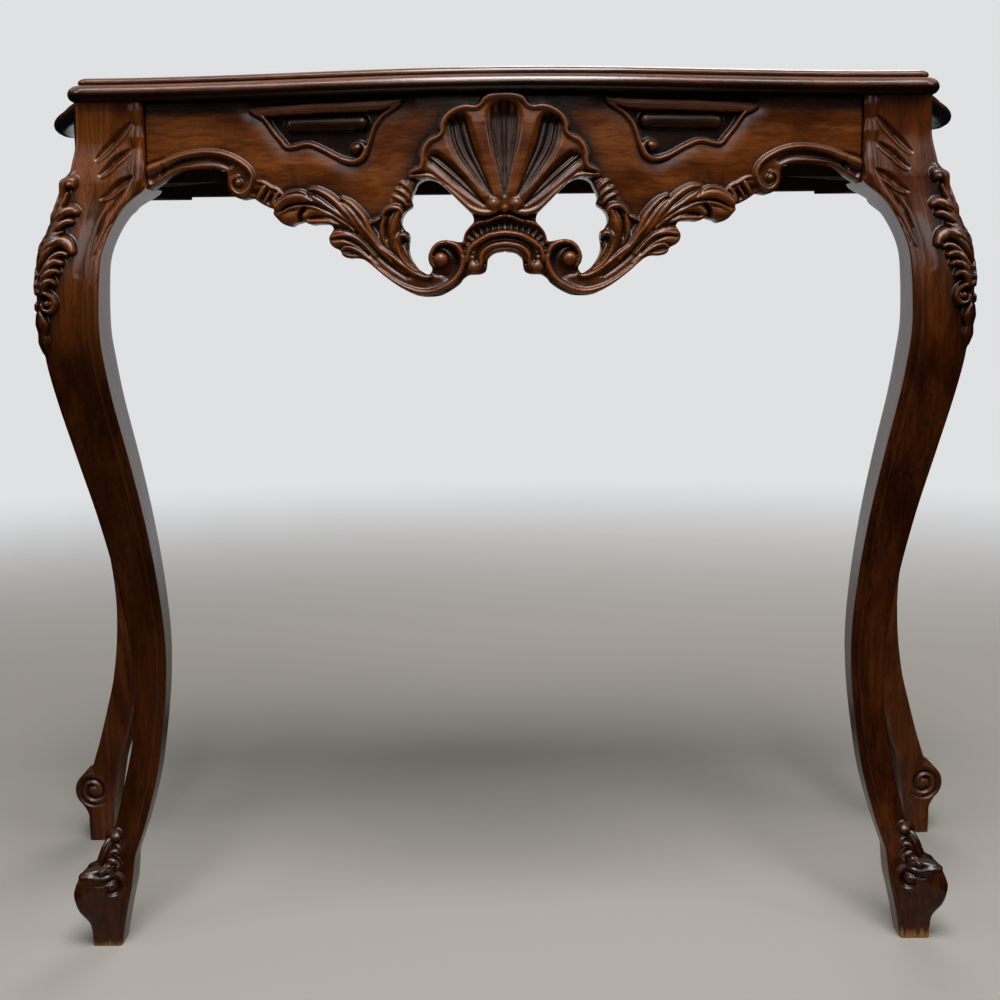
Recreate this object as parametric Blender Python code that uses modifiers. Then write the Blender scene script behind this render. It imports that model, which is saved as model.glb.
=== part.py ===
"""Carved console side table.

Four cabriole legs carry a pierced, carved, bow-fronted apron, two slanted side aprons and a plain
back rail. Every rail is dowelled to the legs. A screwed block stiffens each corner, and a screw up
through each block holds the moulded top.

Frame: metres, +X to the right, -Y to the front, +Z up, origin on the floor under the table's middle.
"""

import math

import bmesh
import bpy
from mathutils import Vector

# Overall sizes
TABLE_HEIGHT = 0.750
TOP_DEPTH = 0.335
TOP_FRONT_WIDTH = 0.725
TOP_BACK_WIDTH = 0.890
TOP_THICKNESS = 0.020
TOP_BOW = 0.0425
TOP_CORNER_RADIUS = 0.018

# Overhang of the top past the faces of the leg posts
FRONT_OVERHANG = 0.010
FRONT_SIDE_OVERHANG = 0.0065
BACK_SIDE_OVERHANG = 0.020
BACK_OVERHANG = 0.0055

# Clearance between pieces that touch
GAP = 0.0003

# Leg posts, and the small round on the arrises of a leg
FRONT_POST = 0.057
BACK_POST_WIDTH = 0.053
BACK_POST_DEPTH = 0.039
LEG_ARRIS = 0.004

# Rails
APRON_THICKNESS = 0.024
APRON_SETBACK = 0.004
APRON_BOW = 0.040
APRON_DROP = 0.162
APRON_END_HEIGHT = 0.071
SIDE_APRON_THICKNESS = 0.022
SIDE_APRON_HEIGHT = 0.068
SIDE_APRON_SETBACK = 0.006
SIDE_ARCH_RISE = 0.014
SIDE_ARCH_SHOULDER = 0.12
SIDE_ARCH_START = 0.15
BACK_RAIL_THICKNESS = 0.020
BACK_RAIL_HEIGHT = 0.060
BACK_RAIL_SETBACK = 0.006

# Carving of the front apron
SHELL_RISE = 0.010
CREST_RISE = 0.006
CARVING_SINK = 0.008
CARTOUCHE_DEPTH = 0.006
VOLUTE_EYE_RADIUS = 0.0065
ARCH_EYE_RADIUS = 0.005

# Scroll foot of a back leg
BACK_SCROLL_RADIUS = 0.0195
BACK_SCROLL_PROUD = 0.001
BACK_SCROLL_OUT = 0.0135
BACK_SCROLL_HEIGHT = 0.0545

# Joinery
DOWEL_RADIUS = 0.004
DOWEL_LENGTH = 0.040
DOWEL_CHAMFER = 0.001
DOWEL_EDGE = 0.018
BLOCK_HEIGHT = 0.064
BLOCK_REACH = 0.060
BLOCK_SIDE_REACH = 0.055
SCREW_SHANK_RADIUS = 0.002
SCREW_HEAD_RADIUS = 0.004
SCREW_HEAD_HEIGHT = 0.0027
SCREW_RIM = 0.0006
SCREW_POINT = 0.005
BLOCK_SCREW_LENGTH = 0.022
BLOCK_SCREW_SEAT = 0.010
RAIL_SCREW_FROM_POST = 0.031
SIDE_SCREW_FROM_POST = 0.034
TOP_SCREW_LENGTH = 0.034
TOP_SCREW_BITE = 0.012
TOP_SCREW_INSET_X = 0.014
TOP_SCREW_INSET_Y = 0.012
DRIVER_CLEARANCE = 0.075

# Facets
ROUND_SIDES = 8
ARRIS_STEPS = 2
LEG_STEPS = 2
BOW_STRIPS = 8
TOP_FRONT_STEPS = 14
TOP_SIDE_STEPS = 8
TOP_CORNER_STEPS = 4

# Side view of a leg below its post: height above the floor, then how far the outer face stands out
# from the post's outer face and the inner face from the post's inner face
KNEE = (
    (0.6585, 0.0075, 0.0000),
    (0.6450, 0.0095, 0.0165),
    (0.6270, 0.0130, 0.0278),
    (0.6050, 0.0190, 0.0355),
    (0.5800, 0.0235, 0.0378),
    (0.5450, 0.0267, 0.0384),
    (0.5200, 0.0268, 0.0362),
    (0.4830, 0.0205, 0.0315),
    (0.4310, 0.0091, 0.0228),
    (0.3780, -0.0026, 0.0150),
    (0.3230, -0.0125, 0.0090),
)
FRONT_FOOT = (
    (0.2680, -0.0196, 0.0058),
    (0.2220, -0.0210, 0.0073),
    (0.1770, -0.0184, 0.0120),
    (0.1420, -0.0131, 0.0170),
    (0.1070, -0.0070, 0.0254),
    (0.0850, -0.0005, 0.0322),
    (0.0775, 0.0040, 0.0345),
    (0.0735, 0.0195, 0.0352),
    (0.0630, 0.0250, 0.0358),
    (0.0500, 0.0290, 0.0373),
    (0.0360, 0.0255, 0.0403),
    (0.0200, 0.0170, 0.0432),
    (0.0000, 0.0155, 0.0465),
)
BACK_FOOT = (
    (0.2680, -0.0190, 0.0030),
    (0.2220, -0.0185, 0.0050),
    (0.1770, -0.0130, 0.0115),
    (0.1420, -0.0045, 0.0200),
    (0.1070, 0.0050, 0.0295),
    (0.0850, 0.0120, 0.0365),
    (0.0660, 0.0155, 0.0403),
    (0.0450, 0.0195, 0.0437),
    (0.0250, 0.0200, 0.0463),
    (0.0000, 0.0198, 0.0480),
)

# Leaf on the outer corner of a front knee: height above the floor and radius
KNEE_LEAF = (
    (0.666, 0.004),
    (0.645, 0.009),
    (0.622, 0.0125),
    (0.600, 0.0155),
    (0.575, 0.0145),
    (0.550, 0.011),
    (0.530, 0.0075),
    (0.516, 0.004),
)
KNEE_LEAF_SINK = 0.30

# Moulded edge of the top, from the underside up: inset from the widest line, share of the thickness
TOP_EDGE = (
    (0.0055, 0.00),
    (0.0016, 0.08),
    (0.0000, 0.275),
    (0.0016, 0.47),
    (0.0055, 0.55),
    (0.0090, 0.58),
    (0.0096, 0.75),
    (0.0120, 0.92),
    (0.0150, 1.00),
)

# Drawing of the right half of the apron, in millimetres: out from the middle, up from the top edge.
# It is stretched from these drawn sizes to the length and drop above.
DRAWN_HALF_LENGTH = 299.0
DRAWN_DROP = 162.0
DRAWN_END_HEIGHT = 71.0
BOTTOM_EDGE = (
    (-8, -127), (0, -125.5), (8, -127), (14, -133), (16, -142), (24, -144.5), (35, -148),
    (46, -157.5), (62, -162), (79, -157.5), (103, -141), (122, -129.5), (132, -128.5), (136, -123),
    (144, -116), (141.5, -107), (147, -101.5), (160, -101.5), (166, -98), (178, -102.5), (189, -96),
    (191, -89), (201, -84), (209, -79), (219, -80), (229, -73), (230, -62), (240, -54.5), (253, -53.5),
    (266, -54.5), (283, -61), (299, -71),
)
PIERCING = (
    (73, -74), (66, -67), (58, -66.5), (48, -74), (35, -86.5), (26, -96), (25.5, -102), (32, -110),
    (35.5, -117), (45, -116.5), (55.5, -118), (62, -125), (62.5, -134), (60, -140), (62, -143.5),
    (70, -139.5), (77, -130), (79, -120), (78.5, -111), (84, -104), (83, -95), (76, -88), (76, -81),
)
SHELL_EDGE = (
    (-8, -1.5), (0, -1), (11.5, -2), (20, -5.5), (28, -10.5), (40, -12), (48, -18), (52.5, -27),
    (56, -34), (63, -41), (65, -52), (68, -58), (77, -63), (70, -64.5), (58, -65), (41.5, -77),
    (24, -94), (11, -96), (0, -95), (-8, -95),
)
CREST_EDGE = (
    (-8, -97), (0, -96), (13, -98.5), (25, -102), (32.5, -110.5), (35, -117), (34, -134), (30, -144),
    (17, -141), (14, -133), (8, -127), (0, -125.5), (-8, -127),
)
CARTOUCHE = (
    (200, -9), (88, -7), (104, -24), (112, -44), (116, -50), (122, -52.5), (130, -51), (146, -41.5),
    (161, -36.5), (177, -38.5), (190, -24),
)
# Hollow flutes of the shell: foot, head and half width
FLUTES = (
    ((0, -88), (0, -6), 15),
    ((9, -86), (42, -18), 12),
    ((16, -87), (62, -46), 8),
)
# Swell of a flute: share of its length, share of its half width
FLUTE_SWELL = ((0.0, 0.15), (0.35, 0.5), (0.7, 0.9), (0.88, 1.0), (0.97, 0.75), (1.0, 0.3))
# Round carved ribs: points along the middle, each with its radius
RIBS = {
    "scroll stem": ((184, -84, 4), (161, -80, 5), (136, -92, 6), (113, -114, 7), (93, -138, 8),
                    (72, -153, 7), (54, -154, 6)),
    "end lobe": ((185, -93, 5), (176, -96, 6), (164, -89, 5), (148, -90, 3)),
    "second lobe": ((160, -98, 3.5), (150, -97, 4.5), (138, -99, 4), (124, -108, 3)),
    "upper lobe": ((159, -73, 2.5), (144, -76, 4), (131, -86, 5), (115, -104, 5), (99, -126, 4)),
    "upper tip": ((133, -80, 2), (126, -86, 3.5), (117, -96, 4.5), (109, -109, 5), (95, -129, 4)),
    "lower lobe": ((141, -115, 5), (128, -114, 6), (115, -124, 5), (99, -137, 4)),
    "lowest lobe": ((132, -126, 3), (124, -127, 4), (111, -134, 4)),
    "inner curl": ((84, -92, 3), (92, -93, 5), (95, -106, 6), (91, -121, 6), (80, -135, 5), (66, -147, 4)),
    "inner lobe": ((81, -111, 3), (84, -118, 4), (83, -129, 4), (75, -139, 3)),
    "arch bead": ((297, -55, 4), (270, -45, 3), (246, -41.5, 3), (227, -45, 3), (211, -56, 3), (209, -67, 3),
                  (218, -76, 3), (227, -69, 3), (224, -62, 2.5)),
    "collar": ((205, -76, 6), (197, -80, 8), (188, -84, 6)),
    "crest bead": ((27, -134, 3), (25, -124, 3.5), (20, -117, 3.5), (13, -112.5, 3.5), (0, -110, 3.5),
                   (-10, -111.5, 3.5)),
}
VOLUTE_CENTRE = (53, -131.5)
VOLUTE_START_RADIUS = 22.0
VOLUTE_END_RADIUS = 8.5
VOLUTE_TURNS = 1.1
VOLUTE_RIB_RADIUS = 4.0
VOLUTE_STEPS = 13
ARCH_EYE = (221, -67)
CARTOUCHE_RIM_RADIUS = 2.2
BOLSTER_ENDS = ((175, -21), (115, -21))
BOLSTER_RADIUS = 7.0
MM = 0.001

# Places worked out from the sizes above
UNDERSIDE = TABLE_HEIGHT - TOP_THICKNESS
TOP_FRONT_Y = -TOP_DEPTH / 2
TOP_BACK_Y = TOP_DEPTH / 2
TOP_CORNER_Y = TOP_FRONT_Y + TOP_BOW
FRONT_POST_OUT = TOP_FRONT_WIDTH / 2 - FRONT_SIDE_OVERHANG
FRONT_POST_IN = FRONT_POST_OUT - FRONT_POST
FRONT_POST_FRONT = TOP_CORNER_Y + FRONT_OVERHANG
FRONT_POST_BACK = FRONT_POST_FRONT + FRONT_POST
BACK_POST_OUT = TOP_BACK_WIDTH / 2 - BACK_SIDE_OVERHANG
BACK_POST_IN = BACK_POST_OUT - BACK_POST_WIDTH
BACK_POST_BACK = TOP_BACK_Y - BACK_OVERHANG
BACK_POST_FRONT = BACK_POST_BACK - BACK_POST_DEPTH
APRON_END = FRONT_POST_IN - GAP
APRON_FACE = FRONT_POST_FRONT + APRON_SETBACK
SHOULDER = UNDERSIDE - APRON_END_HEIGHT
RAIL_BACK_FACE = BACK_POST_BACK - BACK_RAIL_SETBACK
RAIL_FRONT_FACE = RAIL_BACK_FACE - BACK_RAIL_THICKNESS
SIDE_FRONT_OUT = FRONT_POST_OUT - SIDE_APRON_SETBACK
SIDE_BACK_OUT = BACK_POST_OUT - SIDE_APRON_SETBACK
SIDE_SLOPE = (SIDE_BACK_OUT - SIDE_FRONT_OUT) / (BACK_POST_FRONT - FRONT_POST_BACK)
SIDE_WIDTH_X = SIDE_APRON_THICKNESS * math.hypot(1.0, SIDE_SLOPE)
BOW_HALF_SPAN = TOP_FRONT_WIDTH / 2 - TOP_CORNER_RADIUS


def clear_scene():
    """Remove every object and make the two collections."""
    for obj in list(bpy.data.objects):
        bpy.data.objects.remove(obj, do_unlink=True)
    parts = bpy.data.collections.new("carved_side_table")
    cutters = bpy.data.collections.new("cutters")
    for collection in (parts, cutters):
        bpy.context.scene.collection.children.link(collection)
    return parts, cutters


PARTS, CUTTERS = clear_scene()


def finish(name, colour, roughness, metallic=0.0):
    """Return a plain material with this linear colour."""
    material = bpy.data.materials.new(name)
    material.use_nodes = True
    shader = material.node_tree.nodes["Principled BSDF"]
    shader.inputs["Base Color"].default_value = (*colour, 1.0)
    shader.inputs["Roughness"].default_value = roughness
    shader.inputs["Metallic"].default_value = metallic
    return material


POLISHED = finish("polished_walnut", (0.115, 0.034, 0.012), 0.28)
INNER_WOOD = finish("stained_beech", (0.045, 0.022, 0.013), 0.60)
DOWEL_WOOD = finish("beech_dowel", (0.42, 0.26, 0.13), 0.65)
STEEL = finish("screw_steel", (0.32, 0.31, 0.29), 0.40, 1.0)


def add_object(name, data, material=None):
    """Link an object: a part when it has a material, a hidden cutter otherwise."""
    obj = bpy.data.objects.new(name, data)
    if material is None:
        CUTTERS.objects.link(obj)
        obj.hide_render = True
        obj.display_type = "WIRE"
        return obj
    data.materials.clear()
    data.materials.append(material)
    PARTS.objects.link(obj)
    return obj


def spline(points, per_span, closed=False):
    """Return points of a smooth curve through the given points, per_span of them to a span."""
    count = len(points)
    spans = count if closed else count - 1
    result = []
    for span in range(spans):
        around = []
        for offset in (-1, 0, 1, 2):
            index = span + offset
            index = index % count if closed else min(max(index, 0), count - 1)
            around.append(Vector(points[index]))
        before, start, end, after = around
        for step in range(per_span):
            t = step / per_span
            bend = (2 * before - 5 * start + 4 * end - after) * t * t
            twist = (3 * start - before - 3 * end + after) * t ** 3
            result.append((2 * start + (end - before) * t + bend + twist) / 2)
    if not closed:
        result.append(Vector(points[-1]))
    return result


def lofted(name, rings, material):
    """Return an object skinned over closed rings of equal count, with both ends capped."""
    bm = bmesh.new()
    rows = [[bm.verts.new(point) for point in ring] for ring in rings]
    for lower, upper in zip(rows, rows[1:]):
        count = len(lower)
        for i in range(count):
            j = (i + 1) % count
            bm.faces.new((lower[i], lower[j], upper[j], upper[i]))
    bm.faces.new(rows[0])
    bm.faces.new(rows[-1])
    bmesh.ops.recalc_face_normals(bm, faces=bm.faces)
    mesh = bpy.data.meshes.new(name)
    bm.to_mesh(mesh)
    bm.free()
    return add_object(name, mesh, material)


def curve_to_mesh(curve_object, material):
    """Replace a curve object by a welded mesh object of the same name and place."""
    name = curve_object.name
    curve_object.name = name + "_curve"
    bpy.context.view_layer.update()
    graph = bpy.context.evaluated_depsgraph_get()
    mesh = bpy.data.meshes.new_from_object(curve_object.evaluated_get(graph))
    bm = bmesh.new()
    bm.from_mesh(mesh)
    bmesh.ops.remove_doubles(bm, verts=bm.verts, dist=1e-6)
    bm.to_mesh(mesh)
    bm.free()
    obj = add_object(name, mesh, material)
    obj.matrix_world = curve_object.matrix_world.copy()
    bpy.data.objects.remove(curve_object, do_unlink=True)
    return obj


def board(name, outline, thickness, material=None):
    """Return a flat board: an outline in the object's XY plane, half the thickness to each side."""
    curve = bpy.data.curves.new(name, "CURVE")
    curve.dimensions = "2D"
    curve.fill_mode = "BOTH"
    curve.extrude = thickness / 2
    line = curve.splines.new("POLY")
    line.points.add(len(outline) - 1)
    for point, place in zip(line.points, outline):
        point.co = (place[0], place[1], 0.0, 1.0)
    line.use_cyclic_u = True
    return curve_to_mesh(add_object(name, curve), material)


def rib(name, points, radii, cyclic=False):
    """Return a round rib that follows the points, with its own radius at each."""
    curve = bpy.data.curves.new(name, "CURVE")
    curve.dimensions = "3D"
    curve.bevel_depth = 1.0
    curve.bevel_resolution = 1
    curve.use_fill_caps = True
    line = curve.splines.new("POLY")
    line.points.add(len(points) - 1)
    for point, place, radius in zip(line.points, points, radii):
        point.co = (*place, 1.0)
        point.radius = radius
    line.use_cyclic_u = cyclic
    return curve_to_mesh(add_object(name, curve), None)


def ball(name, centre, radius):
    """Return a small faceted ball."""
    mesh = bpy.data.meshes.new(name)
    bm = bmesh.new()
    bmesh.ops.create_uvsphere(bm, u_segments=ROUND_SIDES, v_segments=ROUND_SIDES // 2, radius=radius)
    bm.to_mesh(mesh)
    bm.free()
    obj = add_object(name, mesh)
    obj.location = centre
    return obj


def turned(name, profile, place, aim, material=None):
    """Return a turned piece whose profile runs from its head down, driven along aim."""
    mesh = bpy.data.meshes.new(name)
    points = [(radius, 0.0, height) for radius, height in profile]
    edges = [(i, i + 1) for i in range(len(points) - 1)]
    mesh.from_pydata(points, edges, [])
    obj = add_object(name, mesh, material)
    screw = obj.modifiers.new("turn", "SCREW")
    screw.steps = ROUND_SIDES
    screw.render_steps = ROUND_SIDES
    screw.use_merge_vertices = True
    screw.merge_threshold = 1e-6
    obj.rotation_mode = "QUATERNION"
    obj.rotation_quaternion = (-Vector(aim)).to_track_quat("Z", "Y")
    obj.location = place
    return obj


def boolean(target, operand, operation):
    """Add a live Boolean to a part."""
    modifier = target.modifiers.new(operation.lower(), "BOOLEAN")
    modifier.operation = operation
    modifier.solver = "EXACT"
    modifier.object = operand


def bake(target, operand, operation):
    """Apply a Boolean to a mesh object at once and remove the operand."""
    boolean(target, operand, operation)
    bpy.context.view_layer.update()
    graph = bpy.context.evaluated_depsgraph_get()
    mesh = bpy.data.meshes.new_from_object(target.evaluated_get(graph))
    target.modifiers.clear()
    target.data = mesh
    bpy.data.objects.remove(operand, do_unlink=True)


def front_curve(x, bow):
    """Return how far a bowed front stands forward at x."""
    share = min(abs(x) / BOW_HALF_SPAN, 1.0)
    return bow * (1.0 + math.cos(math.pi * share)) / 2


def apron_forward(x):
    """Return the apron's bow at x, straight between its strips."""
    strip = APRON_END / BOW_STRIPS
    start = math.floor(abs(x) / strip) * strip
    share = (abs(x) - start) / strip
    return (1 - share) * front_curve(start, APRON_BOW) + share * front_curve(start + strip, APRON_BOW)


def top_outline():
    """Return the plan of the tabletop, running round from the middle of the front."""
    half_front = TOP_FRONT_WIDTH / 2
    half_back = TOP_BACK_WIDTH / 2
    radius = TOP_CORNER_RADIUS
    half = []
    for i in range(TOP_FRONT_STEPS):
        x = BOW_HALF_SPAN * i / TOP_FRONT_STEPS
        half.append((x, TOP_CORNER_Y - front_curve(x, TOP_BOW)))
    for i in range(TOP_CORNER_STEPS):
        turn = math.pi / 2 * i / TOP_CORNER_STEPS
        half.append((half_front - radius + radius * math.sin(turn),
                     TOP_CORNER_Y + radius - radius * math.cos(turn)))
    start = TOP_CORNER_Y + radius
    run = TOP_BACK_Y - radius - start
    for i in range(TOP_SIDE_STEPS):
        share = i / TOP_SIDE_STEPS
        swell = share * share * (3 - 2 * share)
        half.append((half_front + (half_back - half_front) * swell, start + run * share))
    for i in range(TOP_CORNER_STEPS + 1):
        turn = math.pi / 2 * i / TOP_CORNER_STEPS
        half.append((half_back - radius + radius * math.cos(turn),
                     TOP_BACK_Y - radius + radius * math.sin(turn)))
    return half + [(-x, y) for x, y in reversed(half[1:])]


def inset_ring(outline, inset, z):
    """Return the outline moved inwards by inset, at height z."""
    ring = []
    count = len(outline)
    for i, (x, y) in enumerate(outline):
        before = Vector(outline[i - 1])
        after = Vector(outline[(i + 1) % count])
        here = Vector((x, y))
        inward = Vector((0.0, 0.0))
        for edge in (here - before, after - here):
            inward += Vector((-edge.y, edge.x)).normalized()
        inward.normalize()
        first = here - before
        reach = inward.dot(Vector((-first.y, first.x)).normalized())
        ring.append((x + inward.x * inset / reach, y + inward.y * inset / reach, z))
    return ring


def make_top():
    """Loft the tabletop from its plan and its moulded edge."""
    outline = top_outline()
    rings = [inset_ring(outline, inset, UNDERSIDE + share * TOP_THICKNESS) for inset, share in TOP_EDGE]
    return lofted("tabletop", rings, POLISHED)


def leg_stations(foot):
    """Return (height, outer offset, inner offset) down a leg with the given foot, post first."""
    stretch = SHOULDER / KNEE[0][0]
    drawn = [(height * stretch, outer, inner) for height, outer, inner in KNEE + foot]
    return [(UNDERSIDE - GAP, 0.0, 0.0)] + [tuple(point) for point in spline(drawn, LEG_STEPS)]


def leg_section(x_in, x_out, y_low, y_high, z):
    """Return a round-cornered four-sided section."""
    corners = ((x_out, y_high, 0), (x_in, y_high, 1), (x_in, y_low, 2), (x_out, y_low, 3))
    ring = []
    for x, y, quarter in corners:
        toward_x = math.copysign(LEG_ARRIS, (x_in + x_out) / 2 - x)
        toward_y = math.copysign(LEG_ARRIS, (y_low + y_high) / 2 - y)
        for step in range(ARRIS_STEPS + 1):
            turn = math.pi / 2 * (step / ARRIS_STEPS)
            if quarter % 2:
                turn = math.pi / 2 - turn
            ring.append((x + toward_x * (1 - math.cos(turn)), y + toward_y * (1 - math.sin(turn)), z))
    return ring


def make_front_leg(name, side):
    """Loft a front leg, which curves out and forward alike, and join its knee leaf."""
    rings = []
    corner = []
    for height, outer, inner in leg_stations(FRONT_FOOT):
        x_out = FRONT_POST_OUT + outer
        y_front = FRONT_POST_FRONT - outer
        section = leg_section(FRONT_POST_IN + inner, x_out, y_front, FRONT_POST_BACK - inner, height)
        rings.append([(side * x, y, z) for x, y, z in section])
        corner.append((height, x_out, y_front))
    leg = lofted(name, rings, POLISHED)
    stretch = SHOULDER / KNEE[0][0]
    points = []
    radii = []
    for drawn_height, radius in KNEE_LEAF:
        height = drawn_height * stretch
        x_out, y_front = corner_at(corner, height)
        sink = radius * KNEE_LEAF_SINK
        points.append((side * (x_out - sink), y_front + sink, height))
        radii.append(radius)
    bake(leg, rib(name + "_knee_leaf", points, radii), "UNION")
    return leg


def corner_at(corner, height):
    """Return the place of a leg's outer front corner at a height."""
    for (z_high, x_high, y_high), (z_low, x_low, y_low) in zip(corner, corner[1:]):
        if z_low <= height <= z_high:
            share = (height - z_low) / (z_high - z_low)
            return x_low + share * (x_high - x_low), y_low + share * (y_high - y_low)
    return corner[-1][1:]


def make_back_leg(name, side):
    """Loft a back leg, which curves sideways only, and join the scroll of its foot."""
    rings = []
    for height, outer, inner in leg_stations(BACK_FOOT):
        section = leg_section(BACK_POST_IN + inner, BACK_POST_OUT + outer, BACK_POST_FRONT, BACK_POST_BACK,
                              height)
        rings.append([(side * x, y, z) for x, y, z in section])
    leg = lofted(name, rings, POLISHED)
    bm = bmesh.new()
    bmesh.ops.create_cone(bm, cap_ends=True, segments=2 * ROUND_SIDES, radius1=BACK_SCROLL_RADIUS,
                          radius2=BACK_SCROLL_RADIUS, depth=BACK_POST_DEPTH + 2 * BACK_SCROLL_PROUD)
    mesh = bpy.data.meshes.new(name + "_scroll")
    bm.to_mesh(mesh)
    bm.free()
    scroll = add_object(name + "_scroll", mesh)
    scroll.rotation_euler = (math.pi / 2, 0.0, 0.0)
    scroll.location = (side * (BACK_POST_OUT + BACK_SCROLL_OUT), (BACK_POST_FRONT + BACK_POST_BACK) / 2,
                       BACK_SCROLL_HEIGHT)
    bake(leg, scroll, "UNION")
    return leg


def drawn(u, v, depth=0.0):
    """Turn a point of the apron's drawing into a place on the unbent apron."""
    return (u * APRON_END / DRAWN_HALF_LENGTH, depth, UNDERSIDE - GAP + rise(u, v))


def rise(u, v):
    """Return the height of a drawn point: the carving's drop in the middle, the end height by the leg."""
    middle = APRON_DROP / DRAWN_DROP
    end = APRON_END_HEIGHT / DRAWN_END_HEIGHT
    share = min(max(u / DRAWN_HALF_LENGTH, 0.0), 1.0)
    return v * (middle + (end - middle) * share)


def raised_board(name, outline, low, high):
    """Return a board that stands in the apron's plane from depth low to depth high."""
    points = [drawn(u, v) for u, v in outline]
    obj = board(name, [(x, z) for x, _, z in points], high - low)
    obj.rotation_euler = (math.pi / 2, 0.0, 0.0)
    obj.location.y = (low + high) / 2
    return obj


def make_apron():
    """Carve the right half of the apron flat, bend it to the bow and mirror it."""
    outline = BOTTOM_EDGE + ((DRAWN_HALF_LENGTH, 0.0), (BOTTOM_EDGE[0][0], 0.0))
    half = raised_board("apron_half", outline, 0.0, APRON_THICKNESS)
    recess = raised_board("recess", CARTOUCHE, -APRON_THICKNESS, CARTOUCHE_DEPTH)
    bake(half, recess, "DIFFERENCE")
    join_carving(half)
    hole = raised_board("piercing", PIERCING, -2 * APRON_THICKNESS, 2 * APRON_THICKNESS)
    bake(half, hole, "DIFFERENCE")
    mesh = half.data
    mesh.transform(half.matrix_world)
    bpy.data.objects.remove(half, do_unlink=True)
    bend(mesh)
    apron = add_object("front_apron", mesh, POLISHED)
    mirror = apron.modifiers.new("other half", "MIRROR")
    mirror.merge_threshold = 1e-6
    return apron


def join_carving(half):
    """Join the shell, the crest, the scrolls, the leaves and the cartouche's rim to the half apron."""
    shell = raised_board("shell", SHELL_EDGE, -SHELL_RISE, CARVING_SINK)
    for index, (foot, head, half_width) in enumerate(FLUTES):
        bake(shell, flute(f"flute_{index}", foot, head, half_width * MM), "DIFFERENCE")
    bake(half, shell, "UNION")
    bake(half, raised_board("crest", CREST_EDGE, -CREST_RISE, CARVING_SINK), "UNION")
    for name, line in RIBS.items():
        points = [drawn(u, v) for u, v, _ in line]
        bake(half, rib(name, points, [radius * MM for _, _, radius in line]), "UNION")
    bake(half, volute(), "UNION")
    bake(half, ball("volute eye", drawn(*VOLUTE_CENTRE), VOLUTE_EYE_RADIUS), "UNION")
    bake(half, ball("arch eye", drawn(*ARCH_EYE), ARCH_EYE_RADIUS), "UNION")
    rim = rib("cartouche rim", [drawn(u, v) for u, v in CARTOUCHE],
              [CARTOUCHE_RIM_RADIUS * MM] * len(CARTOUCHE), cyclic=True)
    bake(half, rim, "UNION")
    bolster = rib("bolster", [drawn(u, v, CARTOUCHE_DEPTH) for u, v in BOLSTER_ENDS],
                  [BOLSTER_RADIUS * MM] * len(BOLSTER_ENDS))
    bake(half, bolster, "UNION")


def flute(name, foot, head, half_width):
    """Return the cutter of one hollow flute: a round tapered bar that dips into the shell's face."""
    points = []
    radii = []
    for along, width in FLUTE_SWELL:
        u = foot[0] + (head[0] - foot[0]) * along
        v = foot[1] + (head[1] - foot[1]) * along
        radius = half_width * width
        points.append(drawn(u, v, -SHELL_RISE - radius / 2))
        radii.append(radius)
    return rib(name, points, radii)


def volute():
    """Return the spiral rib that ends the C-scroll."""
    points = []
    radii = []
    for step in range(VOLUTE_STEPS + 1):
        share = step / VOLUTE_STEPS
        turn = -math.pi / 2 - 2 * math.pi * VOLUTE_TURNS * share
        radius = VOLUTE_START_RADIUS + (VOLUTE_END_RADIUS - VOLUTE_START_RADIUS) * share
        points.append(drawn(VOLUTE_CENTRE[0] + radius * math.cos(turn),
                            VOLUTE_CENTRE[1] + radius * math.sin(turn)))
        radii.append(VOLUTE_RIB_RADIUS * MM)
    return rib("volute", points, radii)


def bend(mesh):
    """Cut the flat half apron off at the middle, part it into upright strips and set these along the bow."""
    bm = bmesh.new()
    bm.from_mesh(mesh)
    for strip in range(BOW_STRIPS):
        everything = bm.verts[:] + bm.edges[:] + bm.faces[:]
        bmesh.ops.bisect_plane(bm, geom=everything, dist=1e-6, plane_no=(1.0, 0.0, 0.0),
                               plane_co=(APRON_END * strip / BOW_STRIPS, 0.0, 0.0), clear_inner=strip == 0)
    for vert in bm.verts:
        if abs(vert.co.x) < 1e-6:
            vert.co.x = 0.0
        vert.co.y += APRON_FACE - apron_forward(vert.co.x)
    bm.to_mesh(mesh)
    bm.free()


def apron_back(x):
    """Return the depth of the apron's back face at x."""
    return APRON_FACE - apron_forward(x) + APRON_THICKNESS


def side_inner(y):
    """Return how far out the inner face of a side apron lies at depth y."""
    return SIDE_FRONT_OUT + SIDE_SLOPE * (y - FRONT_POST_BACK) - SIDE_WIDTH_X


def make_side_apron(name, side):
    """Make a side apron: an arched board, slanted outwards to the back."""
    start = FRONT_POST_BACK + GAP
    end = BACK_POST_FRONT - GAP
    low = UNDERSIDE - SIDE_APRON_HEIGHT
    inset = SIDE_ARCH_SHOULDER * (end - start)
    lift = low + SIDE_ARCH_START * SIDE_ARCH_RISE
    crown = ((start + end) / 2, low + SIDE_ARCH_RISE)
    arch = [(start, low), (start + inset, lift), crown, (end - inset, lift), (end, low)]
    outline = [tuple(point) for point in spline(arch, 3)]
    outline += [(end, UNDERSIDE - GAP), (start, UNDERSIDE - GAP)]
    flat = board(name + "_flat", outline, SIDE_WIDTH_X)
    mesh = flat.data
    bpy.data.objects.remove(flat, do_unlink=True)
    for vert in mesh.vertices:
        y, z, across = vert.co
        out = side_inner(y) + SIDE_WIDTH_X / 2 + side * across
        vert.co = (side * out, y, z)
    return add_object(name, mesh, POLISHED)


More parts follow.
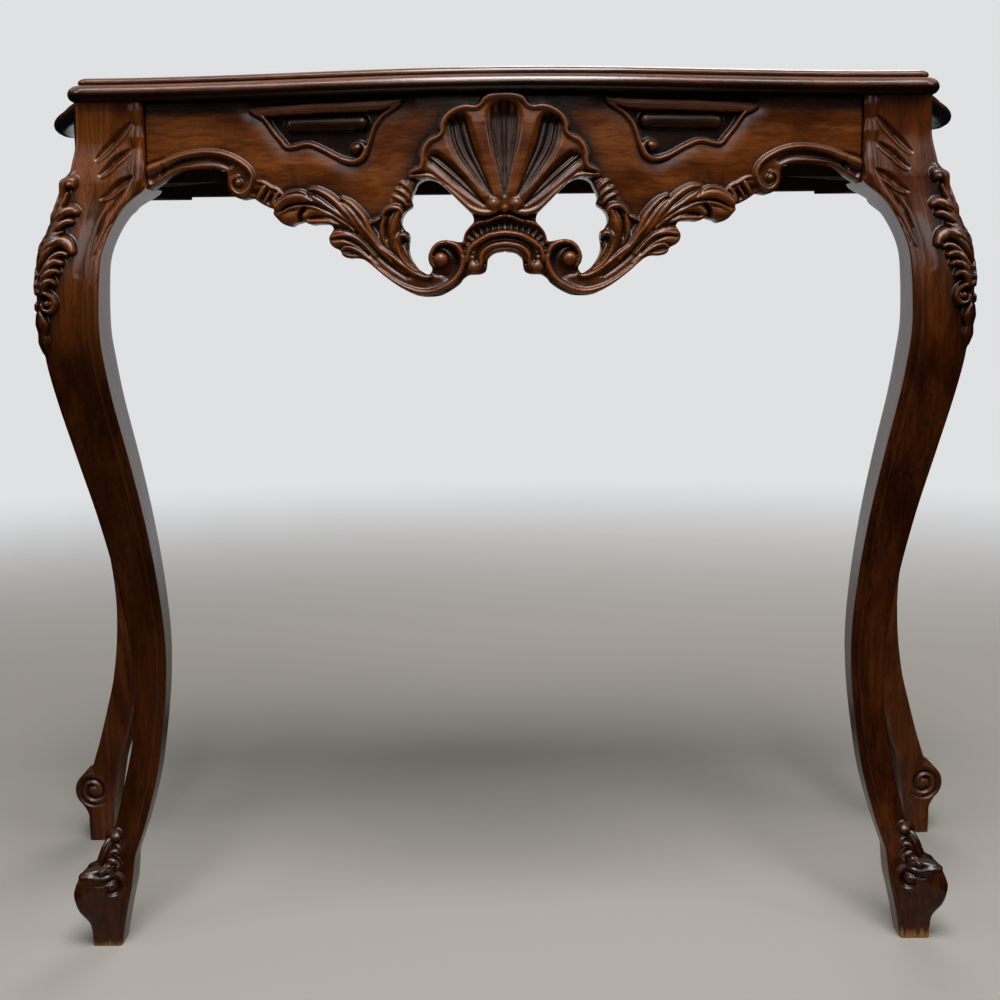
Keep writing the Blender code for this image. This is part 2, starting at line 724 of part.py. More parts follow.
def make_back_rail():
    """Make the plain back rail."""
    end = BACK_POST_IN - GAP
    top = UNDERSIDE - GAP
    low = UNDERSIDE - BACK_RAIL_HEIGHT
    rail = board("back_rail", [(-end, low), (end, low), (end, top), (-end, top)], BACK_RAIL_THICKNESS,
                 INNER_WOOD)
    rail.rotation_euler = (math.pi / 2, 0.0, 0.0)
    rail.location.y = (RAIL_FRONT_FACE + RAIL_BACK_FACE) / 2
    return rail


def make_block(name, outline):
    """Make a corner block from its plan."""
    block = board(name, outline, BLOCK_HEIGHT - GAP, INNER_WOOD)
    block.location.z = UNDERSIDE - (BLOCK_HEIGHT + GAP) / 2
    return block


def front_block_plan(side):
    """Return the plan of a front block, notched round the post and fitted to the bowed apron."""
    reach_end = FRONT_POST_IN - BLOCK_REACH
    post_x = FRONT_POST_IN - GAP
    strip = APRON_END / BOW_STRIPS
    crossings = [strip * i for i in range(1, BOW_STRIPS) if reach_end < strip * i < post_x]
    plan = [(x, apron_back(x) + GAP) for x in [reach_end] + crossings + [post_x]]
    post_y = FRONT_POST_BACK + GAP
    side_end = FRONT_POST_BACK + BLOCK_SIDE_REACH
    plan += [(post_x, post_y), (side_inner(post_y) - GAP, post_y), (side_inner(side_end) - GAP, side_end)]
    return [(side * x, y) for x, y in plan]


def back_block_plan(side):
    """Return the plan of a back block, notched round the post."""
    rail_y = RAIL_FRONT_FACE - GAP
    post_y = BACK_POST_FRONT - GAP
    side_end = BACK_POST_FRONT - BLOCK_SIDE_REACH
    plan = [(BACK_POST_IN - BLOCK_REACH, rail_y), (BACK_POST_IN - GAP, rail_y), (BACK_POST_IN - GAP, post_y),
            (side_inner(post_y) - GAP, post_y), (side_inner(side_end) - GAP, side_end)]
    return [(side * x, y) for x, y in plan]


def add_dowel(name, place, aim, pieces):
    """Add a dowel centred on a joint and drill both pieces for it."""
    half = DOWEL_LENGTH / 2
    thin = DOWEL_RADIUS - DOWEL_CHAMFER
    straight = half - DOWEL_CHAMFER
    profile = [(0.0, half), (thin, half), (DOWEL_RADIUS, straight), (DOWEL_RADIUS, -straight), (thin, -half),
               (0.0, -half)]
    turned(name, profile, place, aim, DOWEL_WOOD)
    bore = DOWEL_RADIUS + GAP
    reach = half + GAP
    hole = turned(name + "_hole", [(0.0, reach), (bore, reach), (bore, -reach), (0.0, -reach)], place, aim)
    for piece in pieces:
        boolean(piece, hole, "DIFFERENCE")


def add_screw(name, seat, aim, length, pieces):
    """Add a countersunk wood screw with its head at seat, and bore the pieces for it."""
    shank = SCREW_SHANK_RADIUS
    head = SCREW_HEAD_RADIUS
    profile = [(0.0, 0.0), (head, 0.0), (head, -SCREW_RIM), (shank, -SCREW_HEAD_HEIGHT),
               (shank, SCREW_POINT - length), (0.0, -length)]
    turned(name, profile, seat, aim, STEEL)
    wide = head + GAP
    narrow = shank + GAP
    bore = [(0.0, DRIVER_CLEARANCE), (wide, DRIVER_CLEARANCE), (wide, -SCREW_RIM),
            (narrow, -SCREW_HEAD_HEIGHT), (narrow, SCREW_POINT - length), (GAP, -length - GAP),
            (0.0, -length - GAP)]
    hole = turned(name + "_hole", bore, seat, aim)
    for piece in pieces:
        boolean(piece, hole, "DIFFERENCE")


def dowel_pair(name, x, y, rail_height, aim, pieces):
    """Add the upper and the lower dowel of one rail-to-leg joint."""
    for level, drop in (("upper", DOWEL_EDGE), ("lower", rail_height - DOWEL_EDGE)):
        add_dowel(f"{name}_{level}_dowel", (x, y, UNDERSIDE - drop), aim, pieces)


def make_corner(word, side, apron, rail, top):
    """Make the legs, the side apron, the blocks, the dowels and the screws of one side of the table."""
    front_leg = make_front_leg(f"front_{word}_leg", side)
    back_leg = make_back_leg(f"back_{word}_leg", side)
    side_apron = make_side_apron(f"{word}_side_apron", side)
    front_block = make_block(f"front_{word}_corner_block", front_block_plan(side))
    back_block = make_block(f"back_{word}_corner_block", back_block_plan(side))

    across = (side, 0.0, 0.0)
    backward = (0.0, 1.0, 0.0)
    along_side = (side * SIDE_SLOPE, 1.0, 0.0)
    apron_middle = apron_back(APRON_END) - APRON_THICKNESS / 2
    rail_middle = (RAIL_FRONT_FACE + RAIL_BACK_FACE) / 2
    side_middle_front = side_inner(FRONT_POST_BACK) + SIDE_WIDTH_X / 2
    side_middle_back = side_inner(BACK_POST_FRONT) + SIDE_WIDTH_X / 2
    dowel_pair(f"apron_{word}", side * FRONT_POST_IN, apron_middle, APRON_END_HEIGHT, across,
               (apron, front_leg))
    dowel_pair(f"{word}_side_front", side * side_middle_front, FRONT_POST_BACK, SIDE_APRON_HEIGHT, along_side,
               (side_apron, front_leg))
    dowel_pair(f"{word}_side_back", side * side_middle_back, BACK_POST_FRONT, SIDE_APRON_HEIGHT, along_side,
               (side_apron, back_leg))
    dowel_pair(f"back_rail_{word}", side * BACK_POST_IN, rail_middle, BACK_RAIL_HEIGHT, across,
               (rail, back_leg))

    high = UNDERSIDE - BLOCK_HEIGHT / 3
    low = UNDERSIDE - BLOCK_HEIGHT * 2 / 3
    square_to_side = Vector((1.0, -SIDE_SLOPE, 0.0)).normalized()
    x = FRONT_POST_IN - RAIL_SCREW_FROM_POST
    add_screw(f"front_{word}_block_apron_screw", (side * x, apron_back(x) + BLOCK_SCREW_SEAT, high),
              (0.0, -1.0, 0.0), BLOCK_SCREW_LENGTH, (front_block, apron))
    x = BACK_POST_IN - RAIL_SCREW_FROM_POST
    add_screw(f"back_{word}_block_rail_screw", (side * x, RAIL_FRONT_FACE - BLOCK_SCREW_SEAT, high), backward,
              BLOCK_SCREW_LENGTH, (back_block, rail))
    for place, block, y in (("front", front_block, FRONT_POST_BACK + SIDE_SCREW_FROM_POST),
                            ("back", back_block, BACK_POST_FRONT - SIDE_SCREW_FROM_POST)):
        seat = Vector((side_inner(y), y, low)) - square_to_side * BLOCK_SCREW_SEAT
        aim = (side * square_to_side.x, square_to_side.y, 0.0)
        add_screw(f"{place}_{word}_block_side_screw", (side * seat.x, seat.y, low), aim, BLOCK_SCREW_LENGTH,
                  (block, side_apron))

    seat_z = UNDERSIDE + TOP_SCREW_BITE - TOP_SCREW_LENGTH
    for place, block, x, y in (
            ("front", front_block, FRONT_POST_IN - TOP_SCREW_INSET_X, FRONT_POST_BACK - TOP_SCREW_INSET_Y),
            ("back", back_block, BACK_POST_IN - TOP_SCREW_INSET_X, BACK_POST_FRONT - TOP_SCREW_INSET_Y)):
        add_screw(f"{place}_{word}_top_screw", (side * x, y, seat_z), (0.0, 0.0, 1.0), TOP_SCREW_LENGTH,
                  (block, top))


def main():
    """Build the whole table."""
    top = make_top()
    apron = make_apron()
    rail = make_back_rail()
    make_corner("left", -1, apron, rail, top)
    make_corner("right", 1, apron, rail, top)
    for obj in PARTS.objects:
        obj.data.shade_smooth()
        obj.data.set_sharp_from_angle(angle=math.radians(40))


main()
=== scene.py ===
"""Dress the carved side table: its walnut, its carving, its moulded top, the light and the camera.

Frame: metres, +X to the right, -Y to the front, +Z up, origin on the floor under the table's middle.
Carving is drawn in millimetres and pressed into dense meshes as heights.
"""

from __future__ import annotations

import logging
import math
from collections.abc import Iterator
from contextlib import contextmanager
from dataclasses import dataclass, field, replace
from enum import Enum

import bmesh
import bpy
import numpy as np
from bpy.types import GeometryNodeTree, Material, Mesh, NodeSocket, NodeTree, Object
from mathutils import Matrix, Vector


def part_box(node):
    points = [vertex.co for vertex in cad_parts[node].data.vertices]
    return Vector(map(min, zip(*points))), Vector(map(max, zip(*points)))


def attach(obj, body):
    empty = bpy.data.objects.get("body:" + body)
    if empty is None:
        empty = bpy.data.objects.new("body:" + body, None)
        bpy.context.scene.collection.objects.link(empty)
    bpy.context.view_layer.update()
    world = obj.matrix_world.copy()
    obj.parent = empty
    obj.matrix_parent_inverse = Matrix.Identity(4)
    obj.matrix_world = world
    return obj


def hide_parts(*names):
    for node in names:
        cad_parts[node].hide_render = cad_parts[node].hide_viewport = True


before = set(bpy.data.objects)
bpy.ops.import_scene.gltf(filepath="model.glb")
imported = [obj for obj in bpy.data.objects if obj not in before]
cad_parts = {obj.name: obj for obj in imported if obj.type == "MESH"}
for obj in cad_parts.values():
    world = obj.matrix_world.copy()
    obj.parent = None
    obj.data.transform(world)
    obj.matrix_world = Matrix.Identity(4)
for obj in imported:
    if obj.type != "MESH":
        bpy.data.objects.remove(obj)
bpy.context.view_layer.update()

LOG = logging.getLogger("carved_side_table")
MM = 0.001
PER_METRE = 1000.0
BODY = "root"
# Attribute of dark polish with painted shade in recesses, and of wear with painted highlight on ridges
TONE = "tone"
# Attribute that marks the faces taking the painted shadow of the top's overhang
OVERHANG_SHADOW_MASK = "open"
AIM = "aim"
# Lengths too small to matter, in millimetres on a drawing or in metres on a piece, and to weld
SPECK = 1e-6
WELD = 1e-7
# Steps between two points of a drawn outline and of a cut
OUTLINE_STEPS = 4
CUT_STEPS = 6
# Where along a cut its three rises are given
STATIONS = (0.0, 0.5, 1.0)
FRONT_POST_WIDTH = 0.057

Array = np.ndarray
Pair = tuple[float, float]
Triple = tuple[float, float, float]
Rows = tuple[tuple[float, ...], ...]


class Side(Enum):
    """The two sides of the table, each with the sign of its X."""

    LEFT = -1
    RIGHT = 1

    @property
    def word(self) -> str:
        """The side's name as the frame spells it."""
        return self.name.lower()


class Grain(Enum):
    """The object axis that the grain follows."""

    ACROSS = 0
    DEEP = 1
    UPRIGHT = 2


class Tool(Enum):
    """What a carver's cut leaves behind."""

    BEAD = "round ridge"
    MASS = "flat-topped swelling"
    GOUGE = "round hollow"
    VEIN = "sharp groove"


BEAD, MASS, GOUGE, VEIN = Tool


def linear(code: str) -> tuple[float, float, float, float]:
    """Turn an sRGB hex colour into linear RGBA.

    Args:
        code: The colour, such as "#5c2e14".

    Returns:
        Red, green, blue and an alpha of 1.
    """
    channels = [int(code[i:i + 2], 16) / 255 for i in (1, 3, 5)]
    red, green, blue = [c / 12.92 if c <= 0.04045 else ((c + 0.055) / 1.055) ** 2.4 for c in channels]
    return red, green, blue, 1.0


def add_node(tree: NodeTree, kind: str, settings: dict | None = None,
             inputs: dict | None = None) -> bpy.types.Node:
    """Add a node to a tree.

    Args:
        tree: The node tree.
        kind: The node's type name.
        settings: Properties of the node.
        inputs: Constants or output sockets, by the name or the number of the input they go to.

    Returns:
        The new node.
    """
    node = tree.nodes.new(kind)
    for name, value in (settings or {}).items():
        setattr(node, name, value)
    for key, value in (inputs or {}).items():
        if isinstance(value, NodeSocket):
            tree.links.new(value, node.inputs[key])
        else:
            node.inputs[key].default_value = value
    return node


def smooth_path(points: Array, per_span: int, closed: bool = False) -> Array:
    """Run a smooth curve through points.

    Args:
        points: One row a point; every column is smoothed alike.
        per_span: Steps between two points.
        closed: Whether the curve comes back to its start.

    Returns:
        The rows of the curve.
    """
    count = len(points)
    order = np.arange(count if closed else count - 1)
    around = []
    for offset in (-1, 0, 1, 2):
        index = order + offset
        index = index % count if closed else np.clip(index, 0, count - 1)
        around.append(points[index][:, None, :])
    before, start, end, after = around
    t = (np.arange(per_span) / per_span)[None, :, None]
    bend = (2 * before - 5 * start + 4 * end - after) * t ** 2
    twist = (3 * start - before - 3 * end + after) * t ** 3
    rows = ((2 * start + (end - before) * t + bend + twist) / 2).reshape(-1, points.shape[1])
    return rows if closed else np.vstack([rows, points[-1:]])


def smooth_step(value: Array) -> Array:
    """Ease from 0 to 1 while the value goes from 0 to 1."""
    share = np.clip(value, 0.0, 1.0)
    return share * share * (3 - 2 * share)


def blurred(heights: Array, steps: float) -> Array:
    """Blur a grid of heights with a bell curve.

    Args:
        heights: The grid.
        steps: Width of the bell in grid steps.

    Returns:
        The blurred grid.
    """
    reach = int(3 * steps)
    result = heights
    for axis in (0, 1):
        total = np.zeros_like(heights)
        weight_sum = 0.0
        padded = np.pad(result, [(reach, reach) if axis == i else (0, 0) for i in (0, 1)], mode="edge")
        for offset in range(-reach, reach + 1):
            weight = math.exp(-0.5 * (offset / steps) ** 2)
            start = reach + offset
            total += weight * np.take(padded, np.arange(start, start + heights.shape[axis]), axis=axis)
            weight_sum += weight
        result = total / weight_sum
    return result


def polygon_depth(outline: Array, across: Array, up: Array) -> Array:
    """Measure how deep points lie inside a closed outline.

    Args:
        outline: Corners of the outline, in order.
        across: First coordinate of the points.
        up: Second coordinate of the points.

    Returns:
        The distance to the outline, negative outside it.
    """
    nearest = np.full(across.shape, np.inf)
    inside = np.zeros(across.shape, dtype=bool)
    for (u0, v0), (u1, v1) in zip(outline, np.roll(outline, -1, axis=0)):
        du, dv = u1 - u0, v1 - v0
        length = max(du * du + dv * dv, SPECK ** 2)
        t = np.clip(((across - u0) * du + (up - v0) * dv) / length, 0.0, 1.0)
        nearest = np.minimum(nearest, np.hypot(across - u0 - t * du, up - v0 - t * dv))
        if v0 != v1:
            crosses = (v0 > up) != (v1 > up)
            inside ^= crosses & (across < u0 + (up - v0) * du / dv)
    return np.where(inside, nearest, -nearest)


def linked(name: str, data: bpy.types.ID) -> Object:
    """Make an object and link it to the scene.

    Args:
        name: Its name.
        data: Its mesh, light or camera.

    Returns:
        The object.
    """
    thing = bpy.data.objects.new(name, data)
    bpy.context.scene.collection.objects.link(thing)
    return thing


@contextmanager
def edited(mesh: Mesh) -> Iterator[bmesh.types.BMesh]:
    """Open a mesh for editing and write it back afterwards.

    Args:
        mesh: The mesh.

    Yields:
        The mesh as it is edited.
    """
    bm = bmesh.new()
    bm.from_mesh(mesh)
    yield bm
    bm.to_mesh(mesh)
    bm.free()


def store(piece: Object, name: str, values: Array | list[float]) -> None:
    """Write one number a point to a piece, for its material to read."""
    attribute = piece.data.attributes.new(name, "FLOAT", "POINT")
    attribute.data.foreach_set("value", np.asarray(values, dtype=np.float32).ravel())


def blank_material(name: str) -> Material:
    """Start a material.

    Args:
        name: Its name.

    Returns:
        The material, with an empty node tree.
    """
    material = bpy.data.materials.new(name)
    material.use_nodes = True
    material.node_tree.nodes.clear()
    return material


def new_tree(name: str, inputs: dict[str, str], output: str) -> GeometryNodeTree:
    """Start a geometry node tree.

    Args:
        name: Its name.
        inputs: The kinds of its inputs, by name.
        output: Name of the geometry that it gives.

    Returns:
        The tree, without nodes.
    """
    tree = bpy.data.node_groups.new(name, "GeometryNodeTree")
    for label, kind in inputs.items():
        tree.interface.new_socket(label, in_out="INPUT", socket_type=f"NodeSocket{kind}")
    tree.interface.new_socket(output, in_out="OUTPUT", socket_type="NodeSocketGeometry")
    return tree


def new_piece(name: str, points: Array, faces: Array) -> Object:
    """Make a mesh object from arrays.

    Args:
        name: Its name.
        points: Vertices, in metres.
        faces: Quads, as rows of four vertex numbers.

    Returns:
        The object, linked to the scene.
    """
    mesh = bpy.data.meshes.new(name)
    mesh.vertices.add(len(points))
    mesh.vertices.foreach_set("co", points.astype(np.float32).ravel())
    mesh.loops.add(faces.size)
    mesh.loops.foreach_set("vertex_index", faces.astype(np.int32).ravel())
    mesh.polygons.add(len(faces))
    mesh.polygons.foreach_set("loop_start", np.arange(0, faces.size, 4, dtype=np.int32))
    mesh.update(calc_edges=True)
    mesh.validate()
    return linked(name, mesh)


def applied(piece: Object) -> Object:
    """Turn an object with modifiers into one with a plain mesh.

    Args:
        piece: The object.

    Returns:
        The same object, without modifiers.
    """
    bpy.context.view_layer.update()
    graph = bpy.context.evaluated_depsgraph_get()
    mesh = bpy.data.meshes.new_from_object(piece.evaluated_get(graph))
    piece.modifiers.clear()
    piece.data = mesh
    return piece


def grown(piece: Object, tree: GeometryNodeTree, values: dict) -> Object:
    """Run a node tree over an object and keep the mesh that it makes.

    Args:
        piece: The object.
        tree: The tree.
        values: The tree's inputs, by name.

    Returns:
        The same object, with the new mesh.
    """
    sockets = {item.name: item.identifier for item in tree.interface.items_tree if item.in_out == "INPUT"}
    modifier = piece.modifiers.new(tree.name, "NODES")
    modifier.node_group = tree
    for name, value in values.items():
        modifier[sockets[name]] = value
    return applied(piece)


def skinned(name: str, rings: Array) -> Object:
    """Skin a stack of closed rings, close its two ends and turn its faces outwards.

    Args:
        name: Name of the new object.
        rings: Points by ring and by place round it, in metres.

    Returns:
        The object.
    """
    number = np.arange(rings.shape[0] * rings.shape[1]).reshape(rings.shape[:2])
    onward = np.roll(number, -1, axis=1)
    faces = np.stack([number[:-1], onward[:-1], onward[1:], number[1:]], axis=-1).reshape(-1, 4)
    piece = new_piece(name, rings.reshape(-1, 3), faces)
    with edited(piece.data) as bm:
        bm.verts.ensure_lookup_table()
        for row in (number[0], number[-1]):
            bm.faces.new([bm.verts[i] for i in row])
        bmesh.ops.recalc_face_normals(bm, faces=bm.faces)
    return piece


def dress(piece: Object, material: Material, nodes: list[str],
          sharp: float) -> None:
    """Give a piece its finish, set it on the frame and report it.

    Args:
        piece: The piece.
        material: Its material.
        nodes: The nodes of the frame that it stands for.
        sharp: The angle, in degrees, past which an edge stays crisp.
    """
    piece.data.materials.clear()
    piece.data.materials.append(material)
    piece.data.shade_smooth()
    piece.data.set_sharp_from_angle(angle=math.radians(sharp))
    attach(piece, BODY)
    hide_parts(*nodes)
    LOG.info("%s: %d faces for %s", piece.name, len(piece.data.polygons), ", ".join(nodes))


@dataclass(frozen=True)
class Cut:
    """One cut of the carving: rows of (across, up, half width) and its rise at start, middle and end."""

    tool: Tool
    rows: Rows
    rise: Triple
    base: float = 0.0


@dataclass(frozen=True)
class Knob:
    """A round knob: its middle, its radius, how far it rises, and the height that it starts from."""

    centre: Pair
    radius: float
    rise: float
    base: float = 0.0


@dataclass(frozen=True)
class Flute:
    """A hollow flute: its rows and its depth from head to foot, and the fine reeds side by side in it."""

    rows: Rows
    depth: Triple
    reeds: int
    reed_rise: float


@dataclass
class Relief:
    """Carved heights, in millimetres, over the points of a drawing."""

    across: Array
    up: Array
    height: Array = field(init=False)
    stain: Array = field(init=False)
    # How full ridges, swellings and flutes are across
    bead_power: float = 2.4
    mass_power: float = 6.0
    flute_power: float = 0.75
    # The part of a flute's half width over which its reeds die away, the painted shade in its hollow, and how
    # far reeds are spared it
    flute_edge: float = 0.25
    flute_stain: float = 0.54
    reed_wear: float = 0.5
    # Measures of the tone: width of the surroundings, the height above them that counts in full, and the
    # most that it counts
    tone_scales: Rows = ((1.6, 1.1, 1.0), (6.0, 5.0, 1.0), (11.0, 4.0, 0.0))
    tone_weight: float = 0.5

    def __post_init__(self) -> None:
        """Start from a flat face without any stain or painted shade."""
        self.height = np.zeros_like(self.across)
        self.stain = np.zeros_like(self.across)

    def along(self, rows: Rows) -> tuple[tuple[Array, ...], Array, Array, Array]:
        """Find the points under a line of varying width.

        Args:
            rows: (across, up, half width) along the line.

        Returns:
            Indices of the points, their distance from the line over its half width, their place along it
            from 0 to 1, and their place across it from -1 to 1.
        """
        path = smooth_path(np.array(rows, dtype=float), CUT_STEPS)
        reach = path[:, 2].max()
        low = path[:, :2].min(axis=0) - reach
        high = path[:, :2].max(axis=0) + reach
        where = np.nonzero((self.across > low[0]) & (self.across < high[0])
                           & (self.up > low[1]) & (self.up < high[1]))
        u, v = self.across[where], self.up[where]
        lengths = np.hypot(*np.diff(path[:, :2], axis=0).T)
        marks = np.concatenate([[0.0], np.cumsum(lengths)]) / max(lengths.sum(), SPECK)
        nearest = np.full(u.shape, np.inf)
        share = np.zeros(u.shape)
        ratio = np.ones(u.shape)
        lateral = np.zeros(u.shape)
        for i, (start, end) in enumerate(zip(path, path[1:])):
            du, dv = end[:2] - start[:2]
            length = max(math.hypot(du, dv), SPECK)
            t = np.clip(((u - start[0]) * du + (v - start[1]) * dv) / length ** 2, 0.0, 1.0)
            off_u = u - start[0] - t * du
            off_v = v - start[1] - t * dv
            distance = np.hypot(off_u, off_v)
            closer = distance < nearest
            width = start[2] + t * (end[2] - start[2])
            nearest[closer] = distance[closer]
            share[closer] = (marks[i] + t * (marks[i + 1] - marks[i]))[closer]
            ratio[closer] = (distance / width)[closer]
            lateral[closer] = ((du * off_v - dv * off_u) / (length * width))[closer]
        hit = ratio < 1.0
        return tuple(axis[hit] for axis in where), ratio[hit], share[hit], lateral[hit]

    def carve(self, cuts: tuple[Cut | Knob, ...]) -> None:
        """Make cuts and knobs, one after another.

        Args:
            cuts: The cuts, in order.
        """
        for cut in cuts:
            if isinstance(cut, Knob):
                self.dome(cut)
                continue
            where, ratio, share, _ = self.along(cut.rows)
            rise = np.interp(share, STATIONS, cut.rise)
            if cut.tool is Tool.BEAD:
                ridge = cut.base + rise * (1 - ratio ** self.bead_power)
                self.height[where] = np.maximum(self.height[where], ridge)
            elif cut.tool is Tool.MASS:
                swelling = cut.base + rise * np.sqrt(1 - ratio ** self.mass_power)
                self.height[where] = np.maximum(self.height[where], swelling)
            elif cut.tool is Tool.GOUGE:
                self.height[where] -= rise * (1 - ratio ** 2)
            else:
                self.height[where] -= rise * (1 - ratio)

    def flute(self, flute: Flute) -> None:
        """Hollow a flute and leave its reeds standing.

        Args:
            flute: The flute.
        """
        where, ratio, share, lateral = self.along(flute.rows)
        hollow = np.interp(share, STATIONS, flute.depth) * (1 - ratio ** 2) ** self.flute_power
        inside = smooth_step((1 - ratio) / self.flute_edge)
        ripple = np.abs(np.sin(math.pi * flute.reeds * (lateral + 1) / 2)) * inside
        self.height[where] -= hollow - flute.reed_rise * ripple
        # Painted shade in the hollow, lighter on the reeds
        self.stain[where] += self.flute_stain * inside * (1 - self.reed_wear * ripple)

    def dome(self, knob: Knob) -> None:
        """Raise a round knob.

        Args:
            knob: The knob.
        """
        ratio = np.hypot(self.across - knob.centre[0], self.up - knob.centre[1]) / knob.radius
        rounded = knob.base + knob.rise * np.sqrt(np.clip(1 - ratio ** 2, 0.0, 1.0))
        self.height = np.where(ratio < 1.0, np.maximum(self.height, rounded), self.height)

    def tint(self, measure: Array, ease: Triple) -> None:
        """Add to the stain and painted shade where a measure is high.

        Args:
            measure: One value a point.
            ease: The value at which the stain and painted shade start, the range over which they deepen, and
                how deep they get.
        """
        start, run, most = ease
        self.stain += most * smooth_step((measure - start) / run)

    def tone(self, step: float) -> Array:
        """Say where polish gathers with painted shade, in recesses and in a painted dark halo round what
        stands up, and where wear and painted highlight pale the ridges.

        Args:
            step: Spacing of the grid, in millimetres.

        Returns:
            -1 in the deepest recesses, 1 on the sharpest ridges.
        """
        total = -self.stain
        for width, full, most in self.tone_scales:
            stands = (self.height - blurred(self.height, width / step)) / full
            total = total + self.tone_weight * np.clip(stands, -1.0, most)
        return np.clip(total, -1.0, 1.0)


@dataclass(frozen=True)
class Pattern:
    """A pattern in wood: its size along and across the grain, its noise, and how much of it shows."""

    size_mm: Pair
    detail: float
    roughness: float
    distortion: float = 0.0
    # The noise at which the pattern starts to show and at which it is full, and how strong it is then
    shown: Pair = (0.0, 1.0)
    most: float = 1.0

    def drawn(self, tree: NodeTree, place: NodeSocket,
              grain: Grain) -> tuple[NodeSocket, NodeSocket]:
        """Draw the pattern.

        Args:
            tree: The material's node tree.
            place: The Object coordinates.
            grain: The axis that the grain follows.

        Returns:
            The noise, and the pattern's strength.
        """
        along, across = self.size_mm
        scale = tuple(PER_METRE / (along if axis == grain.value else across) for axis in range(3))
        scaled = add_node(tree, "ShaderNodeMapping", inputs={"Vector": place, "Scale": scale})
        noise = add_node(tree, "ShaderNodeTexNoise", inputs={
            "Vector": scaled.outputs[0], "Scale": 1.0, "Detail": self.detail, "Roughness": self.roughness,
            "Distortion": self.distortion})
        strength = add_node(tree, "ShaderNodeMapRange", inputs={
            "Value": noise.outputs[0], "From Min": self.shown[0], "From Max": self.shown[1],
            "To Max": self.most})
        return noise.outputs[0], strength.outputs[0]


